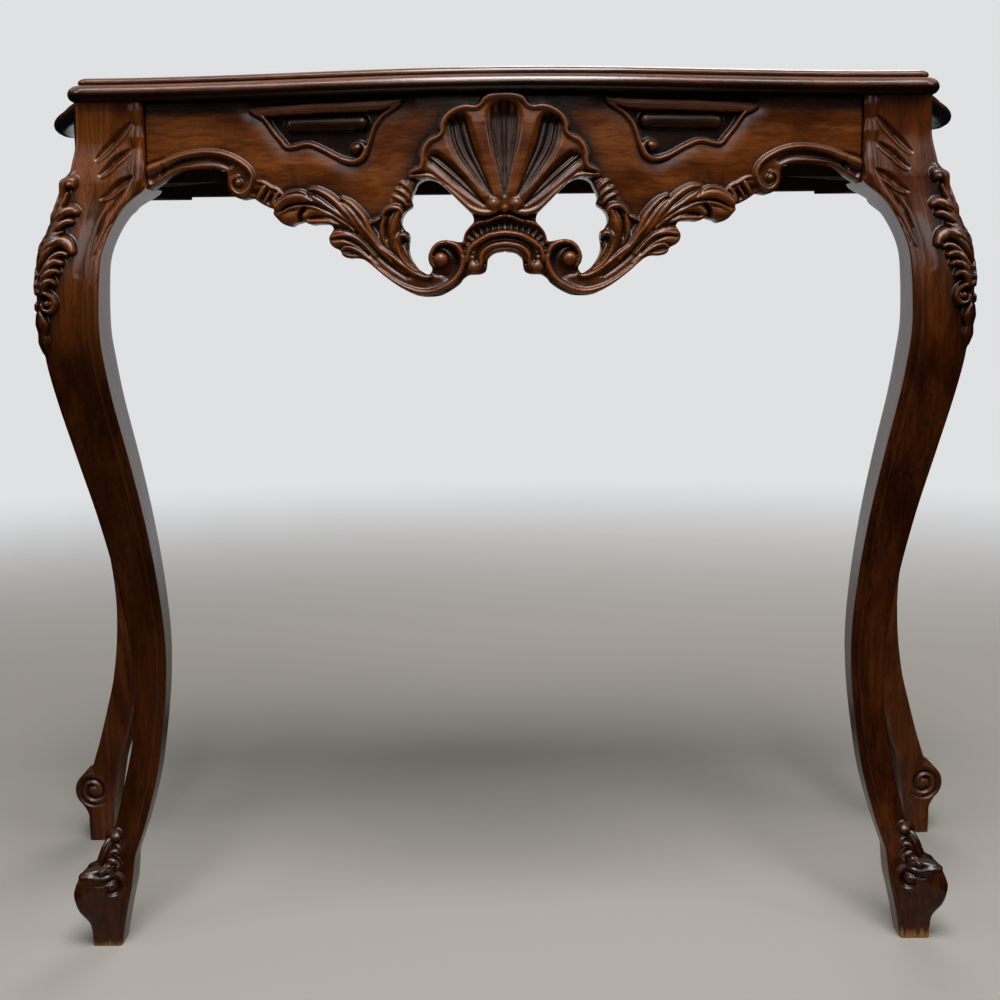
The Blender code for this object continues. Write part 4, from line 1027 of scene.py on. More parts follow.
ARCH_CUTS = (
    Cut(GOUGE, ((294, -62.5, 4), (283, -56, 4.2), (270, -50, 4.2), (253, -47.6, 4.2), (238, -48.4, 4.2),
        (228, -52.4, 3.6)), (1.6, 2.2, 1.4)),
    Cut(BEAD, ((299.5, -56, 4.4), (291, -52.6, 4.4), (283, -49.6, 3.6), (270, -44.7, 2.7),
        (253, -41.6, 2.5), (240, -41.8, 2.5), (227.6, -44.9, 2.5), (216.7, -50.7, 2.5), (210.6, -56.5, 2.5),
        (208.4, -62, 2.5), (209.2, -67, 2.5), (212.6, -73, 2.4), (219, -75.9, 2.3), (224.6, -72.8, 2.2),
        (226.6, -67.4, 2), (224.2, -63, 1.7), (220.6, -61.8, 1.3)), (4.4, 4.2, 3.8)),
    Cut(VEIN, ((299, -50, 1.2), (291, -48, 1.6), (282, -45.4, 1.2)), (1.4, 1.8, 1)),
    Cut(GOUGE, ((286, -58, 1.6), (284, -54.5, 2.2), (284.5, -51, 1.4)), (2.4, 3, 1.6)),
    # Folded collar between the arch and the leaf
    Cut(GOUGE, ((206, -76, 5), (199, -78, 6.5), (191.5, -82, 5)), (1.6, 2.6, 1.6)),
    Cut(BEAD, ((205, -81, 1.8), (201.5, -75.6, 2.4), (198.5, -70.6, 1.8)), (2.8, 3.6, 2.6)),
    Cut(BEAD, ((192.5, -88, 1.6), (190.5, -81.5, 2.2), (186.5, -75.8, 1.6)), (3, 3.8, 2.6)),
    Cut(BEAD, ((199.5, -84, 1.2), (196.4, -78.6, 1.6), (193, -73.2, 1.2)), (0.6, 1.2, 0.6)),
    Cut(BEAD, ((204.5, -66, 0.9), (201, -66.6, 1.3), (196.5, -68.6, 1.4), (193, -71, 1.4),
        (188.5, -72.6, 1.4), (185.6, -74.8, 1.3), (182.5, -78.5, 0.9)), (1.4, 2.4, 1.4)),
    # Eye of the arch's curl
    Knob((220.6, -66.8), 3.4, 3, 0.6),
)


@dataclass
class CarvedApron:
    """The pierced front apron: a flat drawing carved as heights, mirrored and set along the bow."""

    layout: Layout
    name: str = "carved_apron"
    node: str = "front_apron"
    half_length_mm: float = 298.7
    drop_mm: float = 163.0
    step_mm: float = 0.74
    thickness: float = 0.024
    bow: float = 0.040
    bow_half_span: float = 0.3445
    face_setback: float = 0.004
    arris_mm: float = 1.4
    sanding_mm: float = 0.5
    most_triangles: int = 186000
    crisp: float = 62.0
    # How far the outline runs on past the middle, how near the edge a point of the grid is pulled onto it,
    # in steps, over what length its slope is felt, and the least slope that counts
    past_middle_mm: float = 40.0
    pull_share: float = 0.35
    probe_mm: float = 0.05
    least_slope: float = 0.25
    # Where stain and painted shade start, the range over which they deepen and how deep they get: stain along
    # the joint with the post and on what stands up, painted shade in the cartouche, and less of it on its
    # bolster
    joint_tint: Triple = (-2.2, 1.4, 0.8)
    raised_tint: Triple = (1.0, 2.0, 0.28)
    recess_tint: Triple = (1.2, 2.0, 1.1)
    bolster_tint: Triple = (0.0, 1 / 3, -0.16)
    # The cartouche: its depth, its wall, the scoop round it and the painted shade in it, its rim and the
    # painted highlight on its roll
    cartouche_steps: int = 5
    recess_mm: float = 8.0
    wall_mm: float = 2.2
    scoop_mm: float = 15.0
    scoop_sink_mm: float = 2.8
    scoop_power: float = 1.7
    scoop_stain: float = 0.45
    rim_mm: float = 1.8
    rim_base_mm: float = -0.6
    rim_rise_mm: float = 1.7
    head_wear: float = 0.9
    # The bolster: its two ends, the height of its middle, its radius, and how far it is sunk
    bolster: tuple[float, float, float, float] = (116.5, 174.0, -20.6, 6.8)
    bolster_sink_mm: float = 0.6
    # The crest's rays: first, last and step of their turns, their middle, and (radius, stretch across,
    # stretch up, half width) of their ends
    ray_turns: Triple = (-4.0, 84.0, 9.5)
    ray_middle_mm: float = -132.0
    ray_ends: Rows = ((21.0, 1.25, 1.0, 0.8), (30.5, 1.12, 1.04, 2.1))
    ray_rise: Triple = (1.6, 2.0, 1.2)
    # The shell: its rise, its edge and how much of that lies outside its outline, its crown and its stain
    shell_rise_mm: float = 7.4
    shell_edge_mm: float = 1.5
    shell_lap: float = 0.2
    crown_rise_mm: float = 1.4
    crown_mm: float = 14.0
    shell_stain: float = 0.14
    # How near a point must be to the carved face to take its tone, the tone behind, and how far round the
    # cartouche no painted overhang shadow lies
    face_near: float = 0.004
    back_tone: float = -0.25
    clean_mm: float = 1.0

    def outline_depth(self, across: Array, up: Array) -> Array:
        """Measure how deep drawn points lie in the wood.

        Args:
            across: Distance of the points from the middle, in millimetres.
            up: Their height from the top edge, in millimetres.

        Returns:
            Their distance from its edge, negative outside the wood or in a piercing.
        """
        edge = smooth_path(np.array(APRON_EDGE), OUTLINE_STEPS)
        mirrored = edge[edge[:, 0] < self.past_middle_mm][1:] * (-1.0, 1.0)
        outer = np.vstack([mirrored[::-1], edge, [(self.half_length_mm, 0.0), (-self.past_middle_mm, 0.0)]])
        hole = smooth_path(np.array(PIERCING), OUTLINE_STEPS, closed=True)
        return np.minimum(polygon_depth(outer, across, up), -polygon_depth(hole, across, up))

    def snapped_grid(self) -> tuple[Array, Array, Array, Array]:
        """Lay a grid over the right half and pull its edge points onto the outline.

        Returns:
            Both coordinates of the points, their depth in the wood, and which points belong to it.
        """
        columns = int(round(self.half_length_mm / self.step_mm)) + 1
        rows = int(round(self.drop_mm / self.step_mm)) + 1
        across, up = np.meshgrid(np.linspace(0.0, self.half_length_mm, columns),
                                 np.linspace(0.0, -self.drop_mm, rows))
        depth = self.outline_depth(across, up)
        inside = depth > -SPECK
        near = inside.copy()
        for down in (-1, 0, 1):
            for along in (-1, 0, 1):
                near |= np.roll(inside, (down, along), axis=(0, 1))
        border = (across > SPECK) & (across < self.half_length_mm - SPECK) & (up < -SPECK)
        pull = near & border & (depth < self.pull_share * self.step_mm)
        probe = self.probe_mm
        for _ in range(2):
            u, v = across[pull], up[pull]
            here = self.outline_depth(u, v)
            slope_u = (self.outline_depth(u + probe, v) - self.outline_depth(u - probe, v)) / (2 * probe)
            slope_v = (self.outline_depth(u, v + probe) - self.outline_depth(u, v - probe)) / (2 * probe)
            steep = np.maximum(slope_u ** 2 + slope_v ** 2, self.least_slope)
            across[pull] = u - here * slope_u / steep
            up[pull] = v - here * slope_v / steep
        return across, up, np.where(pull, 0.0, depth), near & (inside | pull)

    def carved(self, across: Array, up: Array, depth: Array) -> Relief:
        """Carve the drawing.

        Args:
            across: Distance of the points from the middle, in millimetres.
            up: Their height from the top edge, in millimetres.
            depth: How deep they lie inside the outline.

        Returns:
            The relief.
        """
        relief = Relief(across, up)
        relief.tint(across - self.half_length_mm, self.joint_tint)
        self.cut_cartouche(relief)
        for cuts in (ARCH_CUTS, INNER_LEAF_CUTS, SCROLL_CUTS, VOLUTE_CUTS):
            relief.carve(cuts)
        self.cut_crest(relief)
        relief.tint(relief.height, self.raised_tint)
        self.cut_shell(relief)
        rolled = np.clip(depth / self.arris_mm, 0.0, 1.0)
        relief.height -= self.arris_mm * (1 - np.sqrt(1 - (1 - rolled) ** 2))
        relief.height = blurred(relief.height, self.sanding_mm / self.step_mm)
        return relief

    def cut_cartouche(self, relief: Relief) -> None:
        """Sink the cartouche, with its rim, its scooped surround, its knob and its bolster, and paint shade
        in it and a highlight along its head.

        Args:
            relief: The apron's heights.
        """
        outline = smooth_path(np.array(CARTOUCHE), self.cartouche_steps, closed=True)
        depth = polygon_depth(outline, relief.across, relief.up)
        surround = np.clip(1 + depth / self.scoop_mm, 0.0, 1.0) * (depth < 0)
        relief.height -= self.scoop_sink_mm * surround ** self.scoop_power
        relief.height -= self.recess_mm * smooth_step(depth / self.wall_mm) * (depth > 0)
        # Painted shade in the recess
        relief.tint(depth, self.recess_tint)
        # Painted shade in the scoop round it, deepest at the rim
        relief.stain += self.scoop_stain * surround ** 2
        band = np.abs(depth) / self.rim_mm
        rim = self.rim_base_mm + self.rim_rise_mm * (1 - np.minimum(band, 1.0) ** relief.bead_power)
        relief.height = np.where(band < 1, np.maximum(relief.height, rim), relief.height)
        left, right, middle, radius = self.bolster
        gap = np.maximum(np.maximum(left - relief.across, relief.across - right), 0.0)
        ratio = np.hypot(relief.up - middle, gap) / radius
        sunk = -self.recess_mm - self.bolster_sink_mm
        roll = sunk + radius * np.sqrt(np.clip(1 - ratio ** 2, 0.0, 1.0))
        relief.height = np.where(ratio < 1, np.maximum(relief.height, roll), relief.height)
        # The bolster takes less of the painted recess shade, so it reads lighter
        relief.tint(1 - ratio, self.bolster_tint)
        relief.carve(CARTOUCHE_CUTS)
        # Painted highlight along the head's roll
        where, ratio, _, _ = relief.along(CARTOUCHE_HEAD)
        relief.stain[where] = -self.head_wear * (1 - ratio ** 2)

    def cut_crest(self, relief: Relief) -> None:
        """Carve the crest under the shell: its swelling, its rays of gouges, and its rims and knob.

        Args:
            relief: The apron's heights.
        """
        relief.carve(CREST_CUTS[:1])
        for turn in np.radians(np.arange(*self.ray_turns)):
            rows = tuple((radius * math.sin(turn) * wide, self.ray_middle_mm + radius * math.cos(turn) * high,
                          half) for radius, wide, high, half in self.ray_ends)
            relief.carve((Cut(GOUGE, rows, self.ray_rise),))
        relief.carve(CREST_CUTS[1:])

    def cut_shell(self, relief: Relief) -> None:
        """Raise the shell, hollow its flutes and add its rims, beads and knobs.

        Args:
            relief: The apron's heights.
        """
        plate = smooth_path(np.array(SHELL_PLATE), OUTLINE_STEPS, closed=True)
        depth = polygon_depth(plate, relief.across, relief.up)
        body = self.shell_rise_mm * smooth_step(depth / self.shell_edge_mm + self.shell_lap)
        body = body + self.crown_rise_mm * np.clip(depth / self.crown_mm, 0.0, 1.0)
        in_shell = depth > -self.shell_lap * self.shell_edge_mm
        relief.height = np.where(in_shell, np.maximum(relief.height, body), relief.height)
        relief.stain = np.where(depth > 0.0, self.shell_stain, relief.stain)
        for flute in FLUTES:
            relief.flute(flute)
        relief.carve(SHELL_CUTS)

    def build(self, material: Material) -> None:
        """Build the apron, thin its flats and dress it.

        Args:
            material: Its finish.
        """
        across, up, depth, used = self.snapped_grid()
        relief = self.carved(across, up, depth)
        tone = relief.tone(self.step_mm)
        rows, columns = across.shape
        number = np.arange(rows * columns).reshape(rows, columns)
        corners, whole, depths = (
            np.stack([grid[1:, :-1], grid[1:, 1:], grid[:-1, 1:], grid[:-1, :-1]], axis=-1)
            for grid in (number, used, depth))
        quads = corners[whole.all(axis=-1) & (depths.max(axis=-1) > SPECK)]

        x = across.ravel() * MM
        face = self.layout.post_back - FRONT_POST_WIDTH + self.face_setback
        bow = self.bow * (1 + np.cos(math.pi * np.minimum(x / self.bow_half_span, 1.0))) / 2
        z = self.layout.underside - self.layout.gap + up.ravel() * MM
        front = np.stack([x, face - bow - relief.height.ravel() * MM, z], axis=-1)
        back = np.stack([x, face - bow + self.thickness, z], axis=-1)

        points, faces = self.closed_slab(front, back, quads)
        piece = new_piece(self.name, points, faces)
        with edited(piece.data) as bm:
            middle = [vert for vert in bm.verts if abs(vert.co.x) < WELD]
            bmesh.ops.remove_doubles(bm, verts=middle, dist=WELD)
        thin = piece.modifiers.new("thin flats", "DECIMATE")
        triangles = 2 * len(piece.data.polygons)
        thin.ratio = min(1.0, self.most_triangles / triangles)
        applied(piece)
        self.store_tone(piece, tone, front[:, 1].reshape(rows, columns))
        dress(piece, material, [self.node], self.crisp)

    @staticmethod
    def closed_slab(front: Array, back: Array, quads: Array) -> tuple[Array, Array]:
        """Close a carved half face into a whole slab.

        Args:
            front: Points of the right half's face.
            back: The points behind them.
            quads: Faces over the front points, seen from the front.

        Returns:
            Points and faces of the slab, both halves, not yet welded in the middle.
        """
        kept, flat = np.unique(quads, return_inverse=True)
        quads = flat.reshape(quads.shape)
        front, back = front[kept], back[kept]
        count = len(front)
        starts = quads.ravel()
        ends = np.roll(quads, -1, axis=1).ravel()
        keys = starts * count + ends
        lone = ~np.isin(ends * count + starts, keys)
        lone &= ~((front[starts, 0] < WELD) & (front[ends, 0] < WELD))
        walls = np.stack([ends[lone], starts[lone], starts[lone] + count, ends[lone] + count], axis=-1)
        faces = np.vstack([quads, quads[:, ::-1] + count, walls])
        points = np.vstack([front, back])
        mirrored = points * (-1.0, 1.0, 1.0)
        return np.vstack([points, mirrored]), np.vstack([faces, faces[:, ::-1] + len(points)])

    def store_tone(self, piece: Object, tone: Array, face_y: Array) -> None:
        """Write the tone of the carving to the piece's points and a fixed tone to its back, and mark the
        faces that take the painted shadow of the top's overhang.

        Args:
            piece: The apron.
            tone: The tone on the grid.
            face_y: The depth of the carved face on the grid.
        """
        count = len(piece.data.vertices)
        places = np.empty(count * 3, dtype=np.float32)
        piece.data.vertices.foreach_get("co", places)
        places = places.reshape(-1, 3)
        rows, columns = tone.shape
        column = np.clip(np.abs(places[:, 0]) / MM / self.half_length_mm * (columns - 1), 0, columns - 1)
        top = self.layout.underside - self.layout.gap
        row = np.clip((top - places[:, 2]) / MM / self.drop_mm * (rows - 1), 0, rows - 1)
        at = (np.rint(row).astype(int), np.rint(column).astype(int))
        on_face = np.abs(places[:, 1] - face_y[at]) < self.face_near
        store(piece, TONE, np.where(on_face, tone[at], self.back_tone))
        # Only the open flats take the painted shadow of the top's overhang; the shell and the cartouche with
        # a narrow margin are spared it
        shell, sunk = (
            polygon_depth(smooth_path(np.array(outline), OUTLINE_STEPS, closed=True),
                          np.abs(places[:, 0]) / MM, (places[:, 2] - top) / MM)
            for outline in (SHELL_PLATE, CARTOUCHE))
        store(piece, OVERHANG_SHADOW_MASK, np.where((shell > 0.0) | (sunk > -self.clean_mm), 0.0, 1.0))


# Side view of a leg: height, then how far the outer face stands out from the post's outer face and the
# inner face from the post's inner face, all in millimetres
KNEE = (
    (729.7, 0, 0), (712, 0, 0), (696, 0.6, 0), (679, 3.9, 0), (666, 6.5, 0), (658.5, 7.5, 0.6),
    (645, 9.5, 16.5), (627, 13, 27.8), (605, 19, 35.5), (580, 23.5, 37.8), (545, 26.7, 38.4),
    (520, 26.8, 36.2), (483, 20.5, 31.5), (431, 9.1, 22.8), (378, -2.6, 15), (323, -12.5, 9),
)
FRONT_FOOT = (
    (268, -19.6, 5.8), (222, -21, 7.3), (177, -18.4, 12), (142, -12, 17), (107, -4.4, 25.4), (95, -0.6, 29),
    (85, 4, 32.2), (77.5, 7.2, 34.6), (73.4, 9.2, 35.1), (71.2, 18.6, 35.4), (66, 22.6, 35.7),
    (58, 26, 36.4), (50, 27.2, 37.3), (36, 24.4, 40.3), (20, 17, 43.2), (0, 15.5, 46.5),
)
BACK_FOOT = (
    (268, -19, 3), (222, -18.5, 5), (177, -13, 11.5), (142, -4.5, 20), (107, 5, 29.5), (85, 12, 36.5),
    (66, 15.5, 40.3), (45, 19.5, 43.7), (25, 20, 46.3), (0, 19.8, 48),
)
# How far the leaves of the knee and of the foot swell past the corner, by height, in millimetres
LEAF_SWELL = (
    (515, 0), (525, 1.8), (537, 3.8), (549, 5.7), (562, 7.8), (574, 9.7), (586, 11), (610, 11), (623, 8.5),
    (635, 7.5), (647, 6), (660, 4.5), (668, 0),
)
FOOT_SWELL = ((60.0, 0.0), (66.0, 1.6), (72.0, 2.6), (80.0, 2.8), (88.0, 2.8), (96.0, 2.6), (103.0, 0.0))
# How far the inner part of the foot's faces stands out, by height, where the knob has died away
FOOT_FLOW = (
    (0, 15.5), (25, 15), (50, 12), (75, 5.5), (100, -2), (120, -7.2), (142, -12),
)
# Lobes of the knee's leaf: millimetres in from the leaf's own outline, and up from the floor
LOBE_CUTS = (
    Cut(BEAD, ((1.5, 645, 2.2), (2.6, 653, 3), (6, 660.4, 3.2), (10.4, 660, 2.8), (11.6, 655.6, 2)),
        (1, 2.6, 2.2)),
    Cut(BEAD, ((8, 650, 1.4), (7.4, 643, 1.9), (5.4, 634, 2.2), (3, 626, 2)), (1.4, 2, 1.4)),
    Cut(BEAD, ((2.5, 619, 3), (4.8, 627, 4.2), (9.2, 633.2, 4.8), (14.8, 635.6, 4.6), (20, 634, 2.6)),
        (1.2, 3, 3)),
    Cut(BEAD, ((5, 615, 2.6), (9.4, 622.6, 3.4), (14.4, 626.4, 3.4), (18.4, 626.4, 2.2)), (1.2, 2.6, 2.4)),
    Cut(BEAD, ((4, 606, 2.4), (8, 613.4, 3), (13.4, 617.4, 2.4)), (1.2, 2.2, 1.6)),
    Cut(BEAD, ((3.4, 588, 3), (6.4, 600, 4.6), (10.6, 607.6, 5.4), (16.6, 610.2, 5.4), (23.8, 607, 4.8),
        (28.6, 601.8, 2.6)), (1.2, 3.4, 3.2)),
    Cut(BEAD, ((9, 590, 2.2), (14, 597.6, 2.8), (19.4, 600.6, 2.8), (24.2, 599.4, 2)), (1.2, 2.4, 2.2)),
    Cut(BEAD, ((7.4, 582, 2.6), (11.9, 590, 3.2), (16.5, 593.6, 3.2), (21.7, 592.6, 2.2)), (1.2, 2.8, 2.4)),
    Cut(BEAD, ((7, 574, 2.4), (11.4, 582.6, 3), (16.4, 586, 3), (20.4, 585, 2)), (1.2, 2.6, 2.2)),
    Cut(BEAD, ((6.4, 567, 2.4), (10.4, 575.4, 2.8), (15, 578, 2.6), (17.6, 575.6, 1.8)), (1.2, 2.6, 2)),
    Cut(BEAD, ((5, 568, 2.2), (10.6, 567.4, 2.6), (15.6, 563.6, 2.8), (16.4, 557.6, 2.6),
        (12.4, 553.2, 2.4), (7.6, 554.6, 2), (7, 559, 1.6)), (1, 2.6, 2)),
    Cut(BEAD, ((4.5, 550, 3), (5.5, 543, 4.6), (5, 535, 2.6)), (1.4, 2.6, 1.4)),
    Cut(BEAD, ((4, 535, 2.6), (4.6, 528, 3.8), (3.6, 519, 1.8)), (1.4, 2.4, 1)),
    Cut(VEIN, ((3, 592, 1), (7.6, 602.4, 1.3), (13, 606.8, 1.3), (21, 605.4, 0.9)), (0.8, 1.5, 0.8)),
    Cut(VEIN, ((4, 622, 0.9), (7.6, 629.6, 1.2), (13.6, 632.8, 0.9)), (0.8, 1.4, 0.6)),
    Knob((8.4, 656.6), 2.4, 2.6),
    Knob((11.6, 559.2), 3, 2.8),
)
# Cuts of the post: millimetres in from the line of its outer face, and up from the floor
POST_CUTS = (
    # Long hollow down to the knee
    Cut(GOUGE, ((28, 668, 6), (19.6, 640, 8), (12.4, 615, 8), (4.3, 585, 6)), (0.6, 1.6, 0.4)),
    # Three swelling steps beside the joint, and the ribbon that they run into
    Cut(BEAD, ((51.5, 728, 4.6), (51.5, 716, 6.6), (52.2, 705.5, 4)), (2, 2.8, 1.8)),
    Cut(BEAD, ((52.2, 704.5, 4), (51.5, 695, 6.6), (52.2, 686, 4)), (1.8, 2.8, 1.8)),
    Cut(BEAD, ((52.2, 685, 4), (51.5, 672, 6.6), (51, 660, 5.4)), (1.8, 2.8, 2)),
    Cut(BEAD, ((51.5, 663, 5.4), (47, 652, 4.8), (39.5, 641, 4.2), (30.5, 629, 3.6), (23, 616, 3),
        (17, 602, 2)), (2.2, 1.8, 0.6)),
    Cut(VEIN, ((44.2, 663, 0.8), (40.4, 652.5, 1), (33, 641.5, 1), (24.5, 629.5, 1), (17, 614, 0.8)),
        (0.8, 1.3, 0.6)),
    Cut(VEIN, ((55.5, 649.5, 0.9), (48.5, 644.5, 1.1), (38.5, 634.5, 1.1), (27.5, 621.5, 1.1),
        (21.5, 609.5, 1), (15.5, 596, 0.7)), (1.2, 1.6, 0.8)),
    Cut(GOUGE, ((41.5, 632, 0.8), (36, 624, 2), (30, 615.5, 2.5), (25, 608.5, 2), (21.5, 603, 0.8)),
        (1.2, 2.8, 1.2)),
    # Three leaf-shaped gouges, each with a thin rim below it
    Cut(GOUGE, ((17.5, 677.5, 1), (24, 684, 3), (32, 692.5, 3.6), (39, 700, 3), (45.6, 707, 1)),
        (2, 3.8, 2)),
    Cut(BEAD, ((19.5, 675.5, 0.7), (26.6, 681.2, 1), (34.6, 689.6, 1.1), (41.6, 697.2, 1),
        (47, 704.5, 0.7)), (1, 1.7, 1)),
    Cut(GOUGE, ((20.4, 664.6, 1), (26.5, 669.5, 2.8), (32.4, 675.5, 3.4), (38.5, 680.5, 2.8),
        (44.8, 685, 1)), (2, 3.6, 2)),
    Cut(BEAD, ((22.5, 662.6, 0.7), (28.9, 666.8, 1), (34.8, 672.6, 1.1), (40.8, 677.6, 1),
        (46, 682.6, 0.7)), (1, 1.7, 1)),
    Cut(GOUGE, ((21.5, 645.6, 1), (28, 649, 3.4), (34, 654.4, 4.2), (40.5, 659, 3.4), (47, 663, 1)),
        (2, 3.6, 2)),
    Cut(BEAD, ((23.5, 643.4, 0.7), (30.6, 645.8, 1), (37, 650.8, 1.1), (43.2, 655.6, 1),
        (48.5, 660.6, 0.7)), (1, 1.7, 1)),
)
# Cuts of the foot: millimetres in from the line of the post's outer face, and up from the floor
FOOT_LEAF_CUTS = (
    Cut(BEAD, ((-6.4, 75, 2.4), (-4, 81, 2.8), (-0.6, 88.5, 2.8), (4, 93.6, 2.4)), (1.2, 2, 1.6)),
    Cut(BEAD, ((-0.5, 78, 2.4), (2.6, 83.4, 3), (6.4, 84.6, 2.6), (8.8, 82.4, 1.6)), (1.2, 2.6, 2)),
    Cut(BEAD, ((-3.6, 68, 2.8), (0, 74.4, 3.4), (4.6, 76.4, 3.2), (8.8, 73.6, 2.4), (8.6, 70, 1.6)),
        (1.2, 2.8, 2.2)),
    Cut(BEAD, ((-3, 69, 2.4), (1, 69.6, 2.8), (5.4, 66.6, 2)), (0.8, 1.6, 1.2)),
    Cut(VEIN, ((-3.4, 71, 0.9), (0.6, 76, 1.2), (5, 77, 0.8)), (0.8, 1.4, 0.6)),
    Knob((5.6, 96.6), 5, 4.2),
)
FOOT_SCROLL_CUTS = (
    Cut(GOUGE, ((-13, 60.5, 1.6), (-5.4, 58.4, 2.6), (1.2, 58.8, 2.8), (7.6, 59.8, 2.8), (9.8, 54.6, 2.8),
        (6.6, 49.8, 2.6), (1.4, 49.8, 2.2), (-0.4, 53.6, 1.8)), (0.8, 2.2, 2)),
    Cut(BEAD, ((-22, 66.6, 1.6), (-16, 66.8, 2), (-10.8, 65.4, 2.1), (-5.3, 63.4, 2.1), (0.1, 63.2, 2.1),
        (6.5, 65.2, 2.2), (11.6, 60.6, 2.2), (13.4, 53.4, 2.1), (9.6, 46.8, 2), (2.6, 45.6, 1.9),
        (-3, 49.6, 1.6)), (1.6, 2.4, 1.4)),
    Cut(GOUGE, ((-16, 36, 3), (-6, 40, 4), (4, 40.6, 3)), (0.4, 0.9, 0.4)),
    Knob((4.1, 54.6), 4.2, 3.2, -1.2),
)


@dataclass
class CabrioleLeg:
    """A cabriole leg: a square section that swells and turns down to its foot, with carving pressed in."""

    layout: Layout
    side: Side
    foot: Rows = FRONT_FOOT
    flow: Rows = FOOT_FLOW
    arris: float = 0.0036
    post_width: float = FRONT_POST_WIDTH
    crisp: float = 58.0
    profile_steps: int = 12
    # Steps between rings where the leg is carved and where it is plain, and the carved heights
    carved_step_mm: float = 0.86
    plain_step_mm: float = 5.0
    foot_zone_mm: Pair = (18.0, 112.0)
    knee_zone_mm: float = 512.0
    # Points along the faces and round the arrises, and how they crowd towards the carved corner
    face_points: int = 60
    plain_points: int = 10
    corner_points: int = 15
    arris_points: int = 4
    crowding: float = 1.15
    # Where a face starts to fall back from the foot's knob, and how much of its width doesn't count
    settle_mm: Pair = (6.0, 10.0)
    # The sunk band along a face's inner edge: its width by height, its depth, its step, the lip beside it
    # (place, half width and rise), and the heights and ranges over which it ends
    band: Rows = ((580.0, 6.6), (612.0, 8.6), (630.0, 10.6), (648.0, 11.5))
    band_sink_mm: float = 1.2
    band_step_mm: float = 1.2
    lip: Triple = (1.6, 1.5, 0.5)
    band_head_mm: Pair = (652.0, 26.0)
    band_foot_mm: Pair = (66.0, 30.0)
    # How much higher the knee's carving sits than it is drawn, and how it is sanded, in steps
    lift_mm: float = 6.0
    sanding: float = 0.6
    # Where stain starts, the range over which it deepens and how deep it gets: in the post's gouges,
    # lightened as painted light, and on the leaves
    gouge_tint: Triple = (1.0, 1.6, -0.45)
    leaf_tint: Triple = (0.4, 1.2, 0.38)
    # The leaves: where the knee's thins out, over what width and how far; its stem and the stem's edge; the
    # height at which a lobe covers the face; and how much of the swelling the foot's takes
    leaf_thins: Triple = (4.5, 17.0, 0.66)
    stem_mm: Pair = (6.8, 2.4)
    cover_mm: float = 1.1
    foot_layer: float = 0.8
    place: str = field(default="front", init=False)

    @property
    def node(self) -> str:
        """The node of the frame that the leg stands for."""
        return f"{self.place}_{self.side.word}_leg"

    def heights(self) -> Array:
        """Space the rings, close together where the leg is carved.

        Returns:
            Their heights, in millimetres.
        """
        top = (self.layout.underside - self.layout.gap) / MM
        low, high = self.foot_zone_mm
        zones = ((0.0, low, self.plain_step_mm), (low, high, self.carved_step_mm),
                 (high, self.knee_zone_mm, self.plain_step_mm), (self.knee_zone_mm, top, self.carved_step_mm))
        marks = [np.arange(start, end, step) for start, end, step in zones]
        return np.concatenate(marks + [np.array([top])])

    def profile(self, heights: Array) -> tuple[Array, Array]:
        """Find how far the leg stands out from its post.

        Args:
            heights: Heights of the rings, in millimetres.

        Returns:
            How far the outer and the inner face stand out at each height, in metres.
        """
        curve = smooth_path(np.array(KNEE + self.foot, dtype=float), self.profile_steps)[::-1]
        outer = np.interp(heights, curve[:, 0], curve[:, 1]) * MM
        inner = np.interp(heights, curve[:, 0], curve[:, 2]) * MM
        return outer, inner

    def face_line(self, width: Array, count: int, first: int) -> tuple[Array, ...]:
        """Run points along one face, from the middle of one rounded arris to the middle of the next.

        Args:
            width: The face's width at each ring.
            count: How many points its straight part has.
            first: How many points half of the first arris has.

        Returns:
            Distance along the face, inset from it, and the normal's parts along and out of it.
        """
        near, far = (np.linspace(math.pi / 4, 0.0, points, endpoint=False)
                     for points in (first, self.arris_points))
        radius = self.arris
        share = np.linspace(0.0, 1.0, count) ** self.crowding
        straight = radius + share[None, :] * (width[:, None] - 2 * radius)
        ones = np.ones_like(width)[:, None]
        far_along = width[:, None] - radius * (1 - np.sin(far[::-1]))
        along = np.hstack([ones * radius * (1 - np.sin(near)), straight, far_along])
        inset = radius * np.concatenate([1 - np.cos(near), np.zeros(count), 1 - np.cos(far[::-1])])
        lean = np.concatenate([-np.sin(near), np.zeros(count), np.sin(far[::-1])])
        rise = np.concatenate([np.cos(near), np.ones(count), np.cos(far[::-1])])
        return along, inset * ones, lean * ones, rise * ones

    def section(self, outer: Array, inner: Array) -> tuple[Array, ...]:
        """Place the faces of the rings, for a leg on the right.

        Args:
            outer: How far the outer face stands out.
            inner: How far the inner face stands out.

        Returns:
            The outer, inner, front and back face of each ring.
        """
        x_in = self.layout.post_in
        y_back = self.layout.post_back
        x_out = x_in + self.post_width + outer
        y_front = y_back - self.post_width - outer
        return x_out, x_in + inner, y_front, y_back - inner

    def settled(self, across: Array, width: Array, up: Array, outer: Array) -> Array:
        """Say how far a carved face falls back from the foot's knob.

        Args:
            across: Distance from the outer front corner, in millimetres.
            width: The face's width there, in millimetres.
            up: Height above the floor, in millimetres.
            outer: How far the corner stands out from the post there, in millimetres.

        Returns:
            What is added to the face, in metres.
        """
        if not self.flow:
            return np.zeros_like(across)
        falls = np.where(up < self.flow[-1][0], np.interp(up, *np.array(self.flow).T) - outer, 0.0)
        start, lost = self.settle_mm
        return falls * smooth_step((across - start) / (width - lost)) * MM

